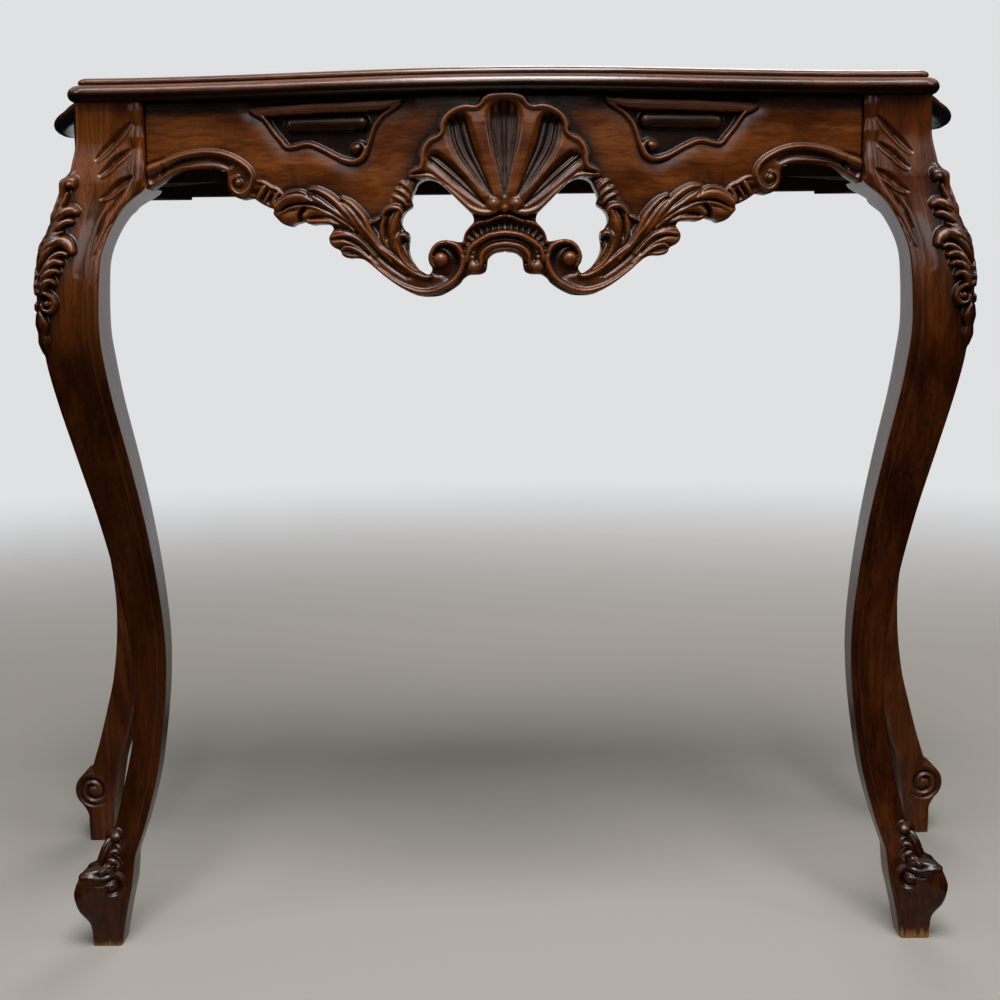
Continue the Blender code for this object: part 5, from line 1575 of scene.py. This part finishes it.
    def carve(self, relief: Relief, width: Array, outer: Array, lean: Array) -> None:
        """Carve a front or side face.

        Args:
            relief: Heights over (distance from the outer front corner, height above the floor).
            width: The face's width at each point, in millimetres.
            outer: How far the corner stands out from the post there, in millimetres.
            lean: How far the surface leans over the outer front corner.
        """
        inward = width - relief.across
        band = np.interp(relief.up, *np.array(self.band).T)
        below_post = smooth_step((self.band_head_mm[0] - relief.up) / self.band_head_mm[1])
        above_foot = smooth_step((relief.up - self.band_foot_mm[0]) / self.band_foot_mm[1])
        share = below_post * above_foot
        step = smooth_step((band - inward) / self.band_step_mm + 0.5)
        relief.height -= self.band_sink_mm * step * share
        beside, half, rise = self.lip
        lip = np.clip(1 - ((inward - band - beside) / half) ** 2, 0.0, 1.0)
        relief.height += rise * np.sqrt(lip) * share
        higher = Relief(relief.across - outer, relief.up - self.lift_mm)
        higher.carve(POST_CUTS)
        relief.height += higher.height
        # Gouges lightened as painted light against the tone's painted shade
        relief.tint(-higher.height, self.gouge_tint)
        knee_leaf = self.leaf(relief.across, lean, relief.up - self.lift_mm)
        foot_leaf = self.foot_leaf(relief.across - outer, lean, relief.up)
        relief.height += knee_leaf + foot_leaf
        relief.tint(np.maximum(knee_leaf, foot_leaf), self.leaf_tint)
        relief.height = blurred(relief.height, self.sanding)

    def leaf(self, across: Array, lean: Array, up: Array) -> Array:
        """Carve the knee's leaf.

        Args:
            across: Distance from the outer front corner, in millimetres.
            lean: How far the surface leans over the corner, down to -0.7 on its diagonal.
            up: Height above the floor, in millimetres.

        Returns:
            The height of the leaf above the face.
        """
        swell = np.interp(up, *np.array(LEAF_SWELL).T)
        drawn = Relief(across + swell * (1 + lean), up)
        drawn.carve(LOBE_CUTS)
        start, run, most = self.leaf_thins
        layer = swell * (1 - most * smooth_step((drawn.across - start) / run))
        stem = smooth_step((self.stem_mm[0] - drawn.across) / self.stem_mm[1])
        return layer * np.maximum(stem, smooth_step(drawn.height / self.cover_mm)) + drawn.height

    def foot_leaf(self, across: Array, lean: Array, up: Array) -> Array:
        """Carve the leaf and the scroll of the foot.

        Args:
            across: Distance from the line of the post's outer face, in millimetres.
            lean: How far the surface leans over the corner, down to -0.7 on its diagonal.
            up: Height above the floor, in millimetres.

        Returns:
            The height of the carving above the face.
        """
        swell = np.interp(up, *np.array(FOOT_SWELL).T)
        drawn = Relief(across + swell * lean, up)
        drawn.carve(FOOT_LEAF_CUTS)
        covered = smooth_step(drawn.height / self.cover_mm)
        scroll = Relief(across, up)
        scroll.carve(FOOT_SCROLL_CUTS)
        return (swell * self.foot_layer + drawn.height) * covered + scroll.height * (1 - covered)

    def build(self, material: Material) -> None:
        """Build the leg and dress it.

        Args:
            material: Its finish.
        """
        heights = self.heights()
        outer, inner = self.profile(heights)
        x_out, x_in, y_front, y_back = self.section(outer, inner)
        wide, deep = x_out - x_in, y_back - y_front
        z = heights * MM
        blocks = []
        for face, width, count in (("side", deep, self.face_points), ("back", wide, self.plain_points),
                                   ("inner", deep, self.plain_points), ("front", wide, self.face_points)):
            first = self.corner_points if face in ("side", "front") else self.arris_points
            along, inset, lean, rise = self.face_line(width, count, first)
            relief = Relief(along / MM, np.repeat(heights[:, None], along.shape[1], axis=1))
            if self.is_carved(face):
                wide_mm, outer_mm = (np.repeat(values[:, None] / MM, along.shape[1], axis=1)
                                     for values in (width, outer))
                self.carve(relief, wide_mm, outer_mm, np.minimum(lean, 0.0))
            out = relief.height * MM - inset
            width_mm, outer_mm = width / MM, outer / MM
            back = self.settled(along / MM, width_mm[:, None], heights[:, None], outer_mm[:, None])
            edge = self.settled(width_mm, width_mm, heights, outer_mm)[:, None] * (1 - along / width[:, None])
            if face == "side":
                x = x_out[:, None] + out * rise + back
                y = y_front[:, None] + along + relief.height * MM * lean
            elif face == "back":
                x = x_out[:, None] - along - relief.height * MM * lean + edge
                y = y_back[:, None] + out * rise
            elif face == "inner":
                x = x_in[:, None] - out * rise
                y = y_front[:, None] + along + relief.height * MM * lean - edge
            else:
                x = x_out[:, None] - along - relief.height * MM * lean
                y = y_front[:, None] - out * rise - back
            tone = relief.tone(self.carved_step_mm)
            block = np.stack([x, y, np.repeat(z[:, None], along.shape[1], axis=1), tone], axis=-1)
            blocks.append(block if face in ("side", "back") else block[:, ::-1])
        ring = np.concatenate([block[:, :-1] for block in blocks], axis=1)
        self.finish(ring, material)

    def is_carved(self, face: str) -> bool:
        """Say whether a face carries the carving."""
        return face in ("side", "front")

    def finish(self, ring: Array, material: Material) -> None:
        """Skin the rings, close both ends and dress the leg.

        Args:
            ring: Points and tone by ring and by place round it, for a leg on the right.
            material: The leg's finish.
        """
        name = f"{self.place}_{self.side.word}_cabriole_leg"
        piece = skinned(name, ring[..., :3] * (self.side.value, 1.0, 1.0))
        store(piece, TONE, ring[..., 3])
        dress(piece, material, [self.node], self.crisp)


@dataclass
class BackLeg(CabrioleLeg):
    """A back leg, which curves sideways only and ends in a plain scroll."""

    foot: Rows = BACK_FOOT
    flow: Rows = ()
    post_width: float = 0.053
    post_depth: float = 0.039
    scroll_out_mm: float = 13.5
    scroll_up_mm: float = 54.5
    scroll_radius_mm: float = 19.5
    # How far the scroll's edge eases down into the foot, in radii
    neck: float = 1.5
    # The scroll's groove: turns, start, steps, how far inside the edge it starts, the radius it ends at, its
    # half width and its depth
    groove_turns: float = 1.6
    groove_start: float = -2.4
    groove_steps: int = 30
    groove_in_mm: float = 3.4
    groove_end_mm: float = 5.4
    groove_mm: float = 2.8
    groove_depth: Triple = (1.2, 2.6, 2.2)
    # The knob in its middle: radius, rise and base
    eye: Triple = (4.6, 1.6, 0.2)
    place: str = field(default="back", init=False)

    def profile(self, heights: Array) -> tuple[Array, Array]:
        """Find how far the leg stands out from its post, with the scroll's round edge.

        Args:
            heights: Heights of the rings, in millimetres.

        Returns:
            How far the outer and the inner face stand out at each height, in metres.
        """
        outer, inner = super().profile(heights)
        off = (heights - self.scroll_up_mm) / self.scroll_radius_mm
        round_edge = self.scroll_out_mm + self.scroll_radius_mm * np.sqrt(np.clip(1 - off ** 2, 0.0, 1.0))
        neck = 1 - smooth_step(-off / self.neck)
        eased = outer + (self.scroll_out_mm * MM + self.scroll_radius_mm * MM - outer) * neck
        outline = np.where(np.abs(off) < 1, np.maximum(outer, round_edge * MM), outer)
        return np.where(off < 0, np.maximum(outline, eased), outline), inner

    def section(self, outer: Array, inner: Array) -> tuple[Array, ...]:
        """Place the faces of the rings, for a leg on the right.

        Args:
            outer: How far the outer face stands out.
            inner: How far the inner face stands out.

        Returns:
            The outer, inner, front and back face of each ring.
        """
        x_in = self.layout.back_post_in
        y_front = np.full_like(outer, self.layout.back_post_front)
        return x_in + self.post_width + outer, x_in + inner, y_front, y_front + self.post_depth

    def is_carved(self, face: str) -> bool:
        """Say whether a face carries the scroll."""
        return face == "front"

    def carve(self, relief: Relief, width: Array, outer: Array, lean: Array) -> None:
        """Cut the scroll of the foot as a spiral groove round a knob.

        Args:
            relief: Heights over (distance from the outer front corner, height above the floor).
            width: The face's width at each point, which the scroll doesn't need.
            outer: How far the corner stands out from the post there, in millimetres.
            lean: How far the surface leans over the corner, which the scroll doesn't need.
        """
        turned = Relief(outer - relief.across, relief.up)
        turns = np.linspace(0.0, self.groove_turns * 2 * math.pi, self.groove_steps) + self.groove_start
        radii = np.linspace(self.scroll_radius_mm - self.groove_in_mm, self.groove_end_mm, self.groove_steps)
        u = self.scroll_out_mm + radii * np.cos(turns)
        v = self.scroll_up_mm + radii * np.sin(turns)
        rows = tuple((a, b, self.groove_mm) for a, b in zip(u, v))
        eye = Knob((self.scroll_out_mm, self.scroll_up_mm), *self.eye)
        turned.carve((Cut(GOUGE, rows, self.groove_depth), eye))
        relief.height += turned.height


@dataclass
class MouldedTop:
    """The serpentine top: a flat board whose moulded edge is swept round its outline."""

    name: str = "moulded_top"
    node: str = "tabletop"
    front_width: float = 0.725
    bow: float = 0.0425
    corner_radius: float = 0.018
    front_steps: int = 60
    side_steps: int = 40
    corner_steps: int = 12
    crisp: float = 40.0
    # Share of the thickness under which painted shade darkens the bead's lower half, and the range over which
    # it ends
    dark_under: Pair = (0.40, 0.16)
    # The edge from the underside up: inset from the widest line and share of the thickness
    edge: Rows = (
        (0.0110, 0.00), (0.0075, 0.00), (0.0046, 0.03), (0.0022, 0.10), (0.0006, 0.20), (0.0000, 0.33),
        (0.0006, 0.45), (0.0020, 0.55), (0.0042, 0.63), (0.0066, 0.67), (0.0084, 0.685), (0.0106, 0.69),
        (0.0110, 0.72), (0.0106, 0.75), (0.0092, 0.755), (0.0090, 0.80), (0.0094, 0.87), (0.0106, 0.93),
        (0.0128, 0.975), (0.0160, 1.00), (0.0174, 1.00),
    )

    def outline(self) -> list[Pair]:
        """Draw the plan.

        Returns:
            Its points, running round from the middle of the front.
        """
        low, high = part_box(self.node)
        half_front = self.front_width / 2
        half_back = high[0]
        radius = self.corner_radius
        corner_y = low[1] + self.bow
        span = half_front - radius
        half = []
        for i in range(self.front_steps):
            x = span * i / self.front_steps
            half.append((x, corner_y - self.bow * (1 + math.cos(math.pi * x / span)) / 2))
        for i in range(self.corner_steps):
            turn = math.pi / 2 * i / self.corner_steps
            half.append((span + radius * math.sin(turn), corner_y + radius - radius * math.cos(turn)))
        start = corner_y + radius
        run = high[1] - radius - start
        for i in range(self.side_steps):
            share = i / self.side_steps
            out = float(smooth_step(np.array(share)))
            half.append((half_front + (half_back - half_front) * out, start + run * share))
        for i in range(self.corner_steps + 1):
            turn = math.pi / 2 * i / self.corner_steps
            half.append((half_back - radius + radius * math.cos(turn),
                         high[1] - radius + radius * math.sin(turn)))
        return half + [(-x, y) for x, y in reversed(half[1:])]

    def sweep_tree(self) -> GeometryNodeTree:
        """Build the node tree that sweeps an edge profile round an outline.

        Returns:
            A tree whose inputs are the outline's mesh, the profile object and the material.
        """
        inputs = {"Outline": "Geometry", "Profile": "Object", "Finish": "Material"}
        tree = new_tree("sweep_moulding", inputs, "Moulding")
        given = add_node(tree, "NodeGroupInput")
        path = add_node(tree, "GeometryNodeMeshToCurve", inputs={"Mesh": given.outputs["Outline"]})
        upright = add_node(tree, "GeometryNodeSetCurveNormal", {"mode": "Z_UP"}, {"Curve": path.outputs[0]})
        profile = add_node(tree, "GeometryNodeObjectInfo", inputs={"Object": given.outputs["Profile"]})
        line = add_node(tree, "GeometryNodeMeshToCurve", inputs={"Mesh": profile.outputs["Geometry"]})
        swept = add_node(tree, "GeometryNodeCurveToMesh", inputs={
            "Curve": upright.outputs[0], "Profile Curve": line.outputs[0]})
        real = add_node(tree, "GeometryNodeRealizeInstances", inputs={"Geometry": swept.outputs[0]})
        finished = add_node(tree, "GeometryNodeSetMaterial", inputs={
            "Geometry": real.outputs[0], "Material": given.outputs["Finish"]})
        add_node(tree, "NodeGroupOutput", inputs={0: finished.outputs[0]})
        return tree

    def build(self, material: Material) -> None:
        """Sweep the edge, close the two faces and dress the top.

        Args:
            material: Its finish.
        """
        low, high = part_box(self.node)
        thickness = high[2] - low[2]
        outline = self.outline()
        count = len(outline)
        path = bpy.data.meshes.new(self.name)
        path.from_pydata([(x, y, low[2]) for x, y in outline],
                         [(i, (i + 1) % count) for i in range(count)], [])
        piece = linked(self.name, path)
        rows = [(-inset, -share * thickness, 0.0) for inset, share in self.edge]
        line = bpy.data.meshes.new("edge_profile")
        line.from_pydata(rows, [(i, i + 1) for i in range(len(rows) - 1)], [])
        profile = linked("edge_profile", line)
        grown(piece, self.sweep_tree(), {"Profile": profile, "Finish": material})
        bpy.data.objects.remove(profile, do_unlink=True)
        # Each face is a ladder of strips from side to side, which keeps inside the hollow of the ends
        with edited(piece.data) as bm:
            bmesh.ops.remove_doubles(bm, verts=bm.verts, dist=WELD)
            rim = {vert for edge in bm.edges if edge.is_boundary for vert in edge.verts}
            for upper in (False, True):
                level = sorted((vert for vert in rim if (vert.co.z > low[2] + thickness / 2) is upper),
                               key=lambda vert: vert.co.y)
                right, left = ([vert for vert in level if sign * vert.co.x > SPECK] for sign in (1, -1))
                bm.faces.new((level[0], right[0], left[0]))
                for i in range(len(right) - 1):
                    bm.faces.new((right[i], right[i + 1], left[i + 1], left[i]))
            bmesh.ops.recalc_face_normals(bm, faces=bm.faces)
        # Painted shade on the bead's lower half, which faces away from the light
        full, run = self.dark_under
        shares = np.array([(vert.co.z - low[2]) / thickness for vert in piece.data.vertices])
        store(piece, TONE, -smooth_step((full - shares) / run))
        dress(piece, material, [self.node], self.crisp)


@dataclass
class FrameBoards:
    """The side aprons, the back rail and the corner blocks: the frame's own boards with eased arrises."""

    arris: float = 0.0012
    arris_steps: int = 3
    # Angles, in degrees, under which faces count as one flat and past which an edge is eased or stays crisp
    flat: float = 1.0
    edge: float = 50.0
    crisp: float = 35.0

    def eased(self, node: str) -> Object:
        """Copy a board of the frame and ease its edges.

        Args:
            node: The board's node.

        Returns:
            The new piece.
        """
        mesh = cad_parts[node].data.copy()
        mesh.name = f"eased_{node}"
        with edited(mesh) as bm:
            bmesh.ops.remove_doubles(bm, verts=bm.verts, dist=SPECK)
            bmesh.ops.dissolve_limit(bm, angle_limit=math.radians(self.flat), verts=bm.verts, edges=bm.edges)
        piece = linked(mesh.name, mesh)
        bevel = piece.modifiers.new("ease", "BEVEL")
        bevel.width = self.arris
        bevel.segments = self.arris_steps
        bevel.limit_method = "ANGLE"
        bevel.angle_limit = math.radians(self.edge)
        return applied(piece)

    def build(self, shown: Material, rail: Material, block: Material) -> None:
        """Make the boards.

        Args:
            shown: Finish of the side aprons.
            rail: Finish of the back rail.
            block: Finish of the corner blocks.
        """
        for side in Side:
            node = f"{side.word}_side_apron"
            dress(self.eased(node), shown, [node], self.crisp)
            for place in ("front", "back"):
                node = f"{place}_{side.word}_corner_block"
                dress(self.eased(node), block, [node], self.crisp)
        dress(self.eased("back_rail"), rail, ["back_rail"], self.crisp)


@dataclass
class Fixings:
    """The dowels and screws: each kind is turned once, and a node tree sets it on every axis in the frame."""

    dowel_radius: float = 0.004
    chamfer: float = 0.001
    grooves: int = 12
    groove_share: float = 0.07
    groove_points: int = 6
    # Radius of the screw's core, and radius and height of its head
    core: float = 0.0017
    head: Pair = (0.004, 0.0027)
    # The head's rounded rim: share of its radius and height; and the blunt tip's radius
    rim: Pair = (0.96, 0.0002)
    tip: float = 0.0002
    turn_points: int = 32
    # Half width, half length and depth of the slot across the head
    slot: Triple = (0.0005, 0.003, 0.0009)
    point: float = 0.005
    # The thread: radius of its edge, corners of its edge, pitch, steps in a turn, and how much of the
    # point it leaves free
    thread_radius: float = 0.0004
    thread_corners: int = 3
    pitch: float = 0.0016
    thread_steps: int = 14
    free_point: float = 0.6
    crisp: float = 40.0

    @staticmethod
    def axis(node: str) -> tuple[Array, Array, float]:
        """Find where a fixing's thicker end lies, which way it points and how long it is.

        Args:
            node: Its node.

        Returns:
            The middle of that end, a unit vector and the length.
        """
        points = np.array([vert.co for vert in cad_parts[node].data.vertices])
        middle = points.mean(axis=0)
        way = np.linalg.svd(points - middle, full_matrices=False)[2][0]
        along = (points - middle) @ way
        off = np.linalg.norm(points - middle - along[:, None] * way, axis=1)
        if along[off.argmax()] > (along.min() + along.max()) / 2:
            way, along = -way, -along
        return middle + way * along.min(), way, float(np.ptp(along))

    @staticmethod
    def turned(name: str, rows: Rows, around: Array) -> Object:
        """Turn a profile round the Z axis.

        Args:
            name: Name of the new object.
            rows: (radius, height) from one end to the other.
            around: Share of the radius at each place round the turn.

        Returns:
            The object.
        """
        turns = np.linspace(0.0, 2 * math.pi, len(around), endpoint=False)
        round_off = np.stack([around * np.cos(turns), around * np.sin(turns), np.zeros_like(turns)], axis=-1)
        return skinned(name, np.stack([round_off * radius + (0.0, 0.0, height) for radius, height in rows]))

    def dowel(self, length: float) -> Object:
        """Turn a fluted dowel with chamfered ends.

        Args:
            length: Its length.

        Returns:
            The dowel, standing on the origin.
        """
        radius, chamfer = self.dowel_radius, self.chamfer
        turns = np.linspace(0.0, 2 * math.pi, self.groove_points * self.grooves, endpoint=False)
        around = 1 - self.groove_share * np.clip(np.cos(self.grooves * turns), 0.0, 1.0)
        rows = ((radius - chamfer, 0.0), (radius, chamfer), (radius, length - chamfer),
                (radius - chamfer, length))
        return self.turned("fluted_dowel", rows, around)

    def screw(self, length: float) -> Object:
        """Turn a countersunk screw and cut the slot across its head.

        Args:
            length: Its length.

        Returns:
            The screw, with its head on the origin and its point up.
        """
        wide, high = self.head
        rows = ((wide * self.rim[0], 0.0), (wide, self.rim[1]), (self.core, high),
                (self.core, length - self.point), (self.tip, length))
        piece = self.turned("slotted_screw", rows, np.ones(self.turn_points))
        half, reach, depth = self.slot
        with edited(piece.data) as bm:
            for way in ((half, 0.0, 0.0), (-half, 0.0, 0.0), (0.0, reach, 0.0), (0.0, -reach, 0.0)):
                whole = bm.verts[:] + bm.edges[:] + bm.faces[:]
                bmesh.ops.bisect_plane(bm, geom=whole, plane_co=way, plane_no=way)
            middles = {face: face.calc_center_median() for face in bm.faces}
            floor = [face for face, at in middles.items()
                     if at.z < SPECK and abs(at.x) < half and abs(at.y) < reach]
            pushed = bmesh.ops.extrude_face_region(bm, geom=floor)["geom"]
            corners = [item for item in pushed if isinstance(item, bmesh.types.BMVert)]
            bmesh.ops.translate(bm, vec=(0.0, 0.0, depth), verts=corners)
            bmesh.ops.delete(bm, geom=[face for face in floor if face.is_valid], context="FACES_ONLY")
            bmesh.ops.recalc_face_normals(bm, faces=bm.faces)
        return piece

    def setting_tree(self, length: float, threaded: bool) -> GeometryNodeTree:
        """Build the node tree that sets a fixing on every place, along its aim.

        Args:
            length: The fixing's length.
            threaded: Whether a thread is wound round it.

        Returns:
            A tree whose inputs are the places, the fixing and the finish.
        """
        inputs = {"Places": "Geometry", "Fixing": "Object", "Finish": "Material"}
        tree = new_tree("set_fixings", inputs, "Fixings")
        given = add_node(tree, "NodeGroupInput")
        body = add_node(tree, "GeometryNodeObjectInfo", inputs={"Object": given.outputs["Fixing"]})
        whole = add_node(tree, "GeometryNodeJoinGeometry", inputs={0: body.outputs["Geometry"]})
        if threaded:
            start = self.head[1] + self.pitch
            run = length - self.point * self.free_point - start
            helix = add_node(tree, "GeometryNodeCurveSpiral", inputs={
                "Resolution": self.thread_steps, "Rotations": run / self.pitch, "Start Radius": self.core,
                "End Radius": self.core, "Height": run})
            edge = add_node(tree, "GeometryNodeCurvePrimitiveCircle", inputs={
                "Resolution": self.thread_corners, "Radius": self.thread_radius})
            thread = add_node(tree, "GeometryNodeCurveToMesh", inputs={
                "Curve": helix.outputs[0], "Profile Curve": edge.outputs[0], "Fill Caps": True})
            raised = add_node(tree, "GeometryNodeTransform", inputs={
                "Geometry": thread.outputs[0], "Translation": (0.0, 0.0, start)})
            tree.links.new(raised.outputs[0], whole.inputs[0])
        aim = add_node(tree, "GeometryNodeInputNamedAttribute", {"data_type": "FLOAT_VECTOR"}, {"Name": AIM})
        aligned = add_node(tree, "FunctionNodeAlignRotationToVector", {"axis": "Z"}, {
            "Vector": aim.outputs["Attribute"]})
        placed = add_node(tree, "GeometryNodeInstanceOnPoints", inputs={
            "Points": given.outputs["Places"], "Instance": whole.outputs[0], "Rotation": aligned.outputs[0]})
        real = add_node(tree, "GeometryNodeRealizeInstances", inputs={"Geometry": placed.outputs[0]})
        finished = add_node(tree, "GeometryNodeSetMaterial", inputs={
            "Geometry": real.outputs[0], "Material": given.outputs["Finish"]})
        add_node(tree, "NodeGroupOutput", inputs={0: finished.outputs[0]})
        return tree

    def build(self, wood: Material, steel: Material) -> None:
        """Make the dowels and the screws, one piece for each kind and length.

        Args:
            wood: Finish of the dowels.
            steel: Finish of the screws.
        """
        kinds: dict[tuple[bool, int], list[str]] = {}
        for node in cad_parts:
            if node.endswith(("_dowel", "_screw")):
                kind = node.endswith("_screw"), round(self.axis(node)[2] / MM)
                kinds.setdefault(kind, []).append(node)
        for (is_screw, length_mm), nodes in kinds.items():
            length = length_mm * MM
            master = self.screw(length) if is_screw else self.dowel(length)
            name = f"{master.name}s_{length_mm}_mm"
            axes = [self.axis(node) for node in nodes]
            places = bpy.data.meshes.new(name)
            places.from_pydata([tuple(end) for end, _, _ in axes], [], [])
            aims = np.array([way for _, way, _ in axes], dtype=np.float32)
            places.attributes.new(AIM, "FLOAT_VECTOR", "POINT").data.foreach_set("vector", aims.ravel())
            piece = linked(name, places)
            finish = steel if is_screw else wood
            grown(piece, self.setting_tree(length, is_screw), {"Fixing": master, "Finish": finish})
            bpy.data.objects.remove(master, do_unlink=True)
            dress(piece, finish, nodes, self.crisp)


@dataclass(frozen=True)
class Lamp:
    """An oblong lamp: where it hangs, what it points at, its two sides in metres and its power in watts."""

    name: str
    place: Triple
    target: Triple
    sides: Pair
    power: float
    # Whether it shows in reflections alone
    polish_only: bool = False

    def hang(self) -> None:
        """Hang the lamp."""
        data = bpy.data.lights.new(self.name, "AREA")
        data.shape = "RECTANGLE"
        data.size, data.size_y = self.sides
        data.energy = self.power
        lamp = linked(self.name, data)
        lamp.location = self.place
        lamp.visible_diffuse = not self.polish_only
        lamp.rotation_euler = (Vector(self.target) - Vector(self.place)).to_track_quat("-Z", "Y").to_euler()


@dataclass
class Studio:
    """Pale floor, soft light, white background and the camera."""

    camera_place: Triple = (-0.0062, -1.3497, 0.5702)
    camera_pitch: float = 81.892
    camera_roll: float = -0.564
    lens: float = 52.2
    sensor: float = 36.0
    floor_colour: str = "#97928c"
    floor_radius: float = 5.0
    floor_corners: int = 64
    # Distances between which the floor fades into the background
    fade: Pair = (1.0, 3.2)
    sky_colour: str = "#eef1f6"
    sky_strength: float = 0.14
    wall_colour: str = "#e0e1e3"
    # The dark screen: radius and height of its hem on the floor, its foot and its top, in a ring that is
    # open behind the table
    screen_rows: Rows = ((0.46, 0.004), (2.7, 0.004), (2.7, 1.9))
    screen_opening: float = 24.0
    screen_posts: int = 40
    screen_colour: str = "#141414"
    lamps: tuple[Lamp, ...] = (
        Lamp("ceiling", (0.1, -1.15, 2.6), (0.0, -0.1, 0.5), (1.4, 1.4), 92.0),
        Lamp("window", (-2.0, -1.1, 1.5), (0.0, -0.1, 0.5), (0.9, 0.9), 9.0),
        Lamp("fill", (2.0, -1.1, 1.6), (0.0, -0.1, 0.5), (0.9, 0.9), 9.0),
        Lamp("panel", (0.0, -2.2, 2.1), (0.0, -0.1, 0.6), (1.8, 1.8), 44.0, polish_only=True),
        Lamp("strip", (0.0, -1.2, 2.7), (0.0, -0.1, 0.7), (4.0, 0.35), 60.0, polish_only=True),
        Lamp("behind", (0.5, 2.3, 1.7), (0.0, 0.1, 0.5), (1.2, 1.2), 30.0),
    )

    def build(self) -> None:
        """Set up the whole studio."""
        self.add_floor()
        self.add_world()
        self.add_screen()
        for lamp in self.lamps:
            lamp.hang()
        data = bpy.data.cameras.new("camera")
        data.lens = self.lens
        data.sensor_width = self.sensor
        camera = linked("camera", data)
        camera.location = self.camera_place
        pitch = Matrix.Rotation(math.radians(self.camera_pitch), 3, "X")
        roll = Matrix.Rotation(math.radians(self.camera_roll), 3, "Z")
        camera.rotation_euler = (pitch @ roll).to_euler()
        bpy.context.scene.camera = camera
        bpy.context.scene.view_settings.view_transform = "Standard"

    def add_floor(self) -> None:
        """Lay a pale floor that fades into the white background."""
        mesh = bpy.data.meshes.new("floor")
        with edited(mesh) as bm:
            bmesh.ops.create_circle(bm, cap_ends=True, segments=self.floor_corners, radius=self.floor_radius)
        floor = linked("floor", mesh)
        material = blank_material("pale_painted_floor")
        tree = material.node_tree
        place = add_node(tree, "ShaderNodeTexCoord").outputs["Object"]
        reach = add_node(tree, "ShaderNodeVectorMath", {"operation": "LENGTH"}, {0: place})
        share = add_node(tree, "ShaderNodeMapRange", {"interpolation_type": "SMOOTHSTEP"}, {
            "Value": reach.outputs["Value"], "From Min": self.fade[0], "From Max": self.fade[1]})
        paint = add_node(tree, "ShaderNodeBsdfDiffuse", inputs={"Color": linear(self.floor_colour)})
        clear = add_node(tree, "ShaderNodeBsdfTransparent")
        mixed = add_node(tree, "ShaderNodeMixShader", inputs={
            0: share.outputs[0], 1: paint.outputs[0], 2: clear.outputs[0]})
        add_node(tree, "ShaderNodeOutputMaterial", inputs={"Surface": mixed.outputs[0]})
        mesh.materials.append(material)

    def add_screen(self) -> None:
        """Stand dark screens round the front and the sides, so that the polish mirrors only wall and lamps.

        They show in reflections alone.
        """
        count = self.screen_posts
        turns = np.radians(np.linspace(self.screen_opening, 360.0 - self.screen_opening, count))
        rows = [(radius * math.sin(turn), radius * math.cos(turn), height)
                for radius, height in self.screen_rows for turn in turns]
        faces = [(i, i + 1, i + 1 + count, i + count) for row in range(len(self.screen_rows) - 1)
                 for i in range(row * count, row * count + count - 1)]
        mesh = bpy.data.meshes.new("dark_screen")
        mesh.from_pydata(rows, [], faces)
        screen = linked("dark_screen", mesh)
        for ray in ("camera", "diffuse", "transmission", "volume_scatter", "shadow"):
            setattr(screen, f"visible_{ray}", False)
        material = blank_material("black_cloth")
        tree = material.node_tree
        cloth = add_node(tree, "ShaderNodeBsdfDiffuse", inputs={"Color": linear(self.screen_colour)})
        add_node(tree, "ShaderNodeOutputMaterial", inputs={"Surface": cloth.outputs[0]})
        mesh.materials.append(material)

    def add_world(self) -> None:
        """Light the room evenly and show it white to the camera and in reflections."""
        world = bpy.data.worlds.new("studio")
        bpy.context.scene.world = world
        world.use_nodes = True
        tree = world.node_tree
        tree.nodes.clear()
        rays = add_node(tree, "ShaderNodeLightPath")
        seen = add_node(tree, "ShaderNodeMath", {"operation": "MAXIMUM"}, {
            0: rays.outputs["Is Camera Ray"], 1: rays.outputs["Is Glossy Ray"]})
        seen_through = add_node(tree, "ShaderNodeMath", {"operation": "MAXIMUM"}, {
            0: seen.outputs[0], 1: rays.outputs["Is Transmission Ray"]})
        light = add_node(tree, "ShaderNodeBackground", inputs={
            "Color": linear(self.sky_colour), "Strength": self.sky_strength})
        white = add_node(tree, "ShaderNodeBackground", inputs={
            "Color": linear(self.wall_colour), "Strength": 1.0})
        mixed = add_node(tree, "ShaderNodeMixShader", inputs={
            0: seen_through.outputs[0], 1: light.outputs[0], 2: white.outputs[0]})
        add_node(tree, "ShaderNodeOutputWorld", inputs={"Surface": mixed.outputs[0]})


def main() -> None:
    """Build every piece and the studio."""
    logging.basicConfig(level=logging.INFO, format="%(name)s: %(message)s")
    layout = Layout.from_frame()
    across = FrenchPolishedWalnut(Grain.ACROSS).material()
    right_leg = FrenchPolishedWalnut(
        Grain.UPRIGHT, "#130602", "#321203", "#502403", roughness=(0.15, 0.26), gloss=0.21, shade=0.32,
        scuffed=0.011, name="right_leg_walnut")
    left_leg = replace(
        right_leg, deep="#1e0c03", middle="#442005", golden="#6c3508", toner="#150501", shade=0.78,
        scuffed=0.006, name="left_leg_walnut")
    upright = {Side.LEFT: left_leg.material(), Side.RIGHT: right_leg.material()}
    golden = FrenchPolishedWalnut(
        Grain.UPRIGHT, "#1d0b03", "#3c1906", "#572b0b", name="golden_walnut").material()
    deep = FrenchPolishedWalnut(Grain.DEEP).material()
    rail = StainedBeech(Grain.ACROSS).material()
    block = StainedBeech(Grain.UPRIGHT).material()
    CarvedApron(layout).build(across)
    for side in Side:
        CabrioleLeg(layout, side).build(upright[side])
        BackLeg(layout, side).build(golden)
    top = FrenchPolishedWalnut(
        Grain.ACROSS, "#1a0a05", "#452310", "#5c3118", roughness=(0.13, 0.24), gloss=0.5,
        name="top_polished_walnut")
    MouldedTop().build(top.material())
    FrameBoards().build(deep, rail, block)
    Fixings().build(BareBeech().material(), AgedSteel().material())
    Studio().build()


if __name__ == "__main__":
    main()
